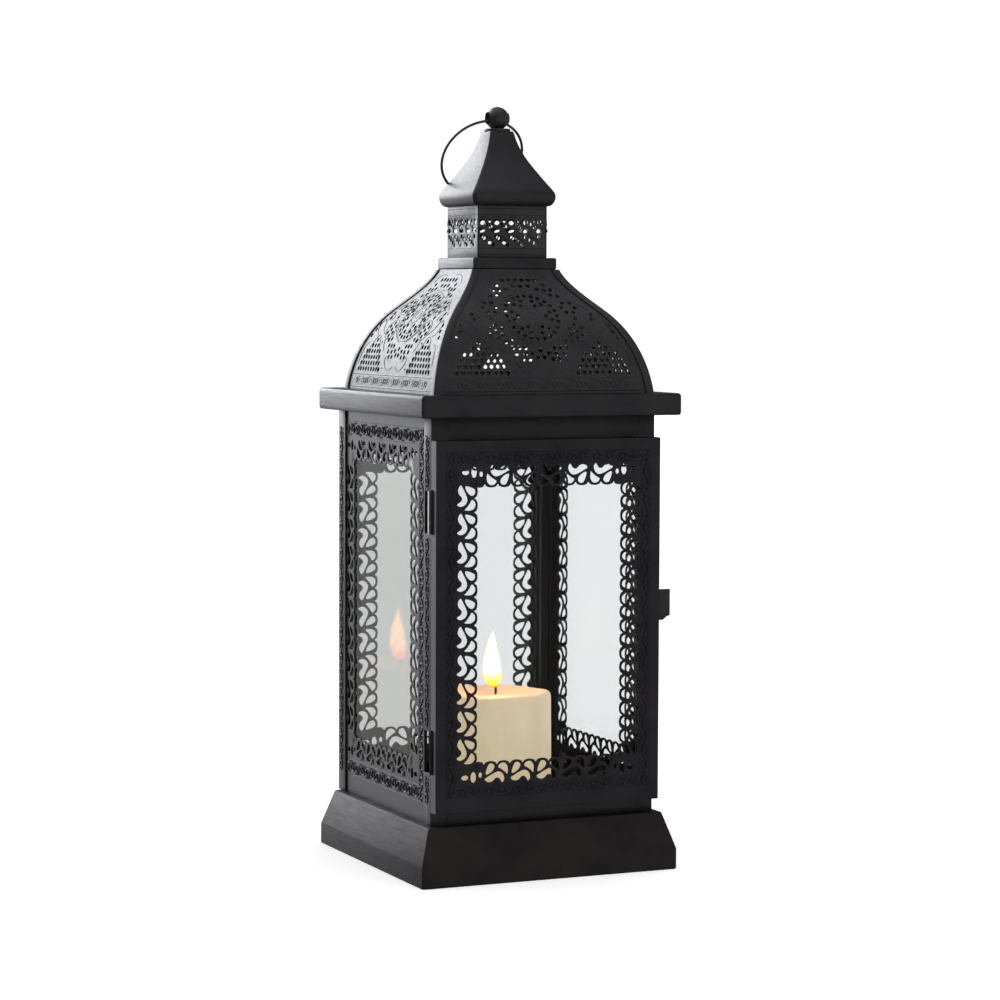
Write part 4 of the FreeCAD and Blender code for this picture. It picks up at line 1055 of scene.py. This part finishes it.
def chimney():
    """Four punched walls with a raised scroll between the holes."""
    low, high = box_mm("chimney")
    half, bottom, top, face = high.x, low.z, high.z, 0.37
    bm_all = bmesh.new()
    motif = [(0, 338.9, 1.6), (2.6, 337.6, 1.0), (4.3, 339.5, 1.0), (4.9, 336.4, 1.0)]
    motif += [(-0.5, 331.4, 1.15), (1.9, 330.0, 1.2), (4.3, 328.4, 1.2), (6.3, 327.0, 1.0)]
    starts = [(index - 2) * 8.35 - 0.5 for index in range(5)]
    for side in ("front", "right", "rear", "left"):
        loops = [[(-half, bottom), (half, bottom), (half, top), (-half, top)]]
        for start in starts:
            loops += [circle_points((start + x, z), r, 16) for x, z, r in motif if start + x < half - 3]
            loops.append(oval_points((start - 1, 334.5), 2.7, 1.2, 18))
        bm = filled_plate(loops, 2 * face, 0.12)
        for z in (322.0, 325.2, 342.6, 345.9):
            spots = [Vector((-half + 1, z, face)), Vector((half - 1, z, face))]
            add_bead(bm, spots, [PLATE_NORMAL] * 2, 0.7, 0.3)
        for start in starts[:-1]:
            for points in (
                [(-2.4, 336.8), (-2.4, 339.2), (-0.8, 341.3), (1.8, 341.4), (3.0, 341.0)],
                [(1.0, 332.2), (2.6, 331.4), (4.4, 330.5), (6.6, 329.2)],
            ):
                curve = smooth_open([Vector((start + x, z)) for x, z in points], 4)
                spots = [Vector((p.x, p.y, face)) for p in curve]
                add_bead(bm, spots, [PLATE_NORMAL] * len(spots), 0.5, 0.25)
        placed(bm, facing(side, half - face))
        mesh = bpy.data.meshes.new("wall")
        bm.to_mesh(mesh)
        bm.free()
        bm_all.from_mesh(mesh)
        bpy.data.meshes.remove(mesh)
    mesh = finish_mesh("chimney", bm_all, 40.0)
    new_object("chimney_finish", mesh, [paint_roof], ["chimney"])


chimney()


# ---------------------------------------------------------------- finial and ring

softened("finial_washer", [paint_roof, worn_edge], 0.25)
softened("finial_nut", [paint_roof], 0.2)
softened("finial_stud", [paint_roof], 0.1)


def finial_ball():
    """A turned ball with a flared cross hole and a flat seat."""
    low, high = box_mm("finial_ball")
    radius, seat = high.x, low.z
    middle = high.z - radius
    bm = bmesh.new()
    steps = 64
    mouth = math.asin(3.28 / radius)
    turns = [mouth + (math.pi / 2 - mouth) * step / 20 for step in range(21)]
    throat = [(2.3, 0.0), (2.3, 1.5), (2.4, 1.9), (2.72, 3.3), (3.0, 4.6), (3.2, 5.8)]
    right = throat + [(radius * math.sin(turn), radius * math.cos(turn)) for turn in turns]
    loops = []
    for r, x in [(r, -x) for r, x in reversed(right)] + right[1:]:
        loop = []
        for step in range(steps):
            turn = 2 * math.pi * step / steps
            z = max(middle + r * math.sin(turn), seat)
            loop.append(bm.verts.new((x, r * math.cos(turn), z)))
        loops.append(loop)
    bridge(bm, loops)
    bmesh.ops.remove_doubles(bm, verts=bm.verts, dist=0.001)
    mesh = finish_mesh("finial_ball", bm, 50.0)
    new_object("finial_ball_finish", mesh, [paint_roof], ["finial_ball"])


def ring():
    """A smooth wire ring, narrowed at its butt joint, leaning back from the ball's cross hole."""
    lean = math.radians(34.0)
    radius, wire, slip, ball_height, drop = 22.7, 0.72, -3.2, 393.0, 0.45
    middle = Vector((slip, radius * math.sin(lean), ball_height - drop - radius * math.cos(lean)))
    down = Vector((0, math.sin(lean), -math.cos(lean)))
    level = Vector((1, 0, 0))
    normal = level.cross(down)
    bm = bmesh.new()
    loops = []
    steps, around, joint = 160, 14, 34
    for step in range(steps):
        turn = 2 * math.pi * step / steps
        outward = level * math.cos(turn) + down * math.sin(turn)
        gap = min(abs(step - joint), 3) / 3
        thick = wire * (0.88 + 0.12 * gap)
        loop = []
        for part in range(around):
            angle = 2 * math.pi * part / around
            offset = outward * (thick * math.cos(angle)) + normal * (thick * math.sin(angle))
            loop.append(bm.verts.new(middle + outward * radius + offset))
        loops.append(loop)
    bridge(bm, loops, True)
    mesh = finish_mesh("ring_handle", bm, 60.0)
    new_object("ring_handle_finish", mesh, [paint_ring], ["ring_handle"], "ring_handle")


finial_ball()
ring()


# ---------------------------------------------------------------- candle


def candle():
    low, high = box_mm("candle")
    bottom, top, radius = low.z, high.z, 30.0

    def uneven(turn, z):
        """A slightly slumped rim and a wall that is not perfectly round."""
        rim = max(0.0, (z - top + 8) / 8)
        slump = -0.35 * rim * (1 + math.sin(2 * turn + 0.6)) - 0.2 * rim * (1 + math.sin(5 * turn))
        return (-0.12 - 0.1 * math.sin(3 * turn + z * 0.11)), slump

    profile = [(0, bottom), (27.5, bottom), (29.3, bottom + 0.3), (radius - 0.05, bottom + 1.2)]
    profile += [(radius - 0.02, bottom + (top - bottom - 5) * k / 10) for k in range(1, 11)]
    profile += [(radius - 0.1, top - 2.6), (radius - 0.6, top - 1.1), (radius - 1.6, top - 0.25)]
    profile += [(radius - 2.8, top)]
    profile += [(radius - 4.4, top - 0.35), (24.0, top - 1.3), (20.0, top - 2.2), (14.0, top - 2.7)]
    profile += [(8.0, top - 2.9), (3.0, top - 2.6), (1.2, top - 2.2), (0, top - 2.2)]
    mesh = finish_mesh("candle", lathe(profile, 96, uneven), 40.0)
    new_object("candle_finish", mesh, [wax_material(top)], ["candle"], "candle")

    wick_top = box_mm("wick")[1].z
    bends = [(0, 0, top - 4), (0.1, 0, top + 1), (-0.5, 0.1, top + 3.8), (-2.0, 0, wick_top - 0.7)]
    path = smooth_open(bends)
    bm = bmesh.new()
    loops = []
    for index, spot in enumerate(path):
        ahead = path[min(index + 1, len(path) - 1)] - path[max(index - 1, 0)]
        side = ahead.cross(Vector((0, 1, 0))).normalized()
        other = ahead.cross(side).normalized()
        ring_radius = 0.72 * (1 + 0.10 * math.sin(index * 2.1))
        loop = []
        for part in range(10):
            turn = 2 * math.pi * part / 10 + index * 0.35
            across = side * (ring_radius * math.cos(turn)) + other * (ring_radius * math.sin(turn))
            loop.append(bm.verts.new(spot + across))
        loops.append(loop)
    bridge(bm, loops)
    bm.faces.new(loops[-1])
    bm.faces.new(loops[0])
    mesh = finish_mesh("wick", bm, 60.0)
    new_object("wick_finish", mesh, [wick_material()], ["wick"], "candle")

    base, tip = top + 1.5, top + 31.5
    outline = [(0, 0), (1.6, 0.4), (3.0, 1.6), (4.1, 3.6), (4.7, 6.2), (4.9, 9.0), (4.6, 12.5)]
    outline += [(3.9, 16.5), (3.0, 20.5), (2.0, 24.2), (1.1, 27.4), (0.45, 29.3), (0, 30.0)]
    bm = lathe([(r, base + z) for r, z in outline], 40)
    for vert in bm.verts:
        rise = (vert.co.z - base) / (tip - base)
        vert.co.x += -1.2 - 1.1 * math.sin(rise * 2.6)
    mesh = finish_mesh("flame", bm, 80.0)
    new_object("flame", mesh, [flame_material(base, tip)], (), "candle")


candle()


# ---------------------------------------------------------------- floor, light and camera


def staged(name, mesh, material):
    item = bpy.data.objects.new(name, mesh)
    bpy.context.scene.collection.objects.link(item)
    mesh.materials.append(material)
    return item


def studio_floor():
    material, _, _, shader = new_material("studio_floor")
    put(shader, Base_Color=(0.92, 0.92, 0.92, 1), Roughness=0.9, Specular_IOR_Level=0.0)
    put(shader, Emission_Color=(1, 1, 1, 1), Emission_Strength=0.35)
    bm = bmesh.new()
    bmesh.ops.create_circle(bm, cap_ends=True, segments=96, radius=6.0)
    mesh = bpy.data.meshes.new("floor")
    bm.to_mesh(mesh)
    bm.free()
    staged("studio_floor", mesh, material).visible_glossy = False


def studio_surround():
    """A soft surround that only glossy surfaces see: bright behind and to the left, dim elsewhere."""
    material = bpy.data.materials.new("studio_surround")
    material.use_nodes = True
    nodes, links = material.node_tree.nodes, material.node_tree.links
    nodes.clear()
    where = nodes.new("ShaderNodeTexCoord")
    unit = nodes.new("ShaderNodeVectorMath")
    unit.operation = "NORMALIZE"
    links.new(where.outputs["Object"], unit.inputs[0])
    total = None
    sources = [
        ((-0.50, 0.84, 0.22), 0.60, 0.98, 1.35),
        ((-0.30, 0.86, 0.42), 0.88, 0.99, 6.0),
        ((0.41, -0.91, 0.05), 0.40, 0.95, 0.42),
        ((-0.2, 0.1, 1.0), 0.55, 1.0, 0.9),
        ((1.0, 0.55, 0.05), 0.6, 1.0, 0.25),
    ]
    for direction, start, end, strength in sources:
        aim = Vector(direction).normalized()
        dot = nodes.new("ShaderNodeVectorMath")
        dot.operation = "DOT_PRODUCT"
        dot.inputs[1].default_value = aim
        links.new(unit.outputs["Vector"], dot.inputs[0])
        shape = nodes.new("ShaderNodeMapRange")
        shape.interpolation_type = "SMOOTHSTEP"
        put(shape, From_Min=start, From_Max=end, To_Max=strength)
        links.new(dot.outputs["Value"], shape.inputs["Value"])
        if total is None:
            total = shape.outputs["Result"]
        else:
            add = nodes.new("ShaderNodeMath")
            links.new(total, add.inputs[0])
            links.new(shape.outputs["Result"], add.inputs[1])
            total = add.outputs["Value"]
    base = nodes.new("ShaderNodeMath")
    base.inputs[1].default_value = 0.05
    links.new(total, base.inputs[0])
    glow = nodes.new("ShaderNodeEmission")
    put(glow, Color=(0.96, 0.975, 1.03, 1))
    links.new(base.outputs["Value"], glow.inputs["Strength"])
    output = nodes.new("ShaderNodeOutputMaterial")
    links.new(glow.outputs["Emission"], output.inputs["Surface"])
    bm = bmesh.new()
    bmesh.ops.create_uvsphere(bm, u_segments=48, v_segments=24, radius=5.0)
    mesh = bpy.data.meshes.new("surround")
    bm.to_mesh(mesh)
    bm.free()
    surround = staged("studio_surround", mesh, material)
    surround.visible_camera = False
    surround.visible_diffuse = False
    surround.visible_transmission = False
    surround.visible_shadow = False
    surround.visible_volume_scatter = False


def studio_light():
    world = bpy.data.worlds.new("studio")
    world.use_nodes = True
    world.node_tree.nodes["Background"].inputs["Color"].default_value = (1, 1, 1, 1)
    world.node_tree.nodes["Background"].inputs["Strength"].default_value = 1.05
    bpy.context.scene.world = world
    lamp = bpy.data.lights.new("candle_light", "POINT")
    lamp.color = (1.0, 0.70, 0.40)
    lamp.energy = 0.035
    lamp.shadow_soft_size = 0.006
    item = bpy.data.objects.new("candle_light", lamp)
    item.location = (-0.002, -0.012, 0.108)
    item.visible_camera = False
    item.visible_glossy = False
    item.visible_transmission = False
    bpy.context.scene.collection.objects.link(item)


def studio_camera():
    yaw, pitch, roll = math.radians(24.198), math.radians(-3.896), math.radians(0.211)
    forward = Vector((math.sin(yaw) * math.cos(pitch), math.cos(yaw) * math.cos(pitch), math.sin(pitch)))
    right = Vector((math.cos(yaw), -math.sin(yaw), 0))
    up = right.cross(forward)
    level = right * math.cos(roll) + up * math.sin(roll)
    upright = up * math.cos(roll) - right * math.sin(roll)
    camera = bpy.data.cameras.new("studio_camera")
    camera.lens = 108.35
    camera.sensor_width = 36.0
    camera.clip_start = 0.05
    item = bpy.data.objects.new("studio_camera", camera)
    turn = Matrix((level, upright, -forward)).transposed().to_4x4()
    item.matrix_world = Matrix.Translation((-0.65472, -1.46229, 0.30075)) @ turn
    bpy.context.scene.collection.objects.link(item)
    bpy.context.scene.camera = item


studio_floor()
studio_surround()
studio_light()
studio_camera()
bpy.context.scene.view_settings.view_transform = "Standard"
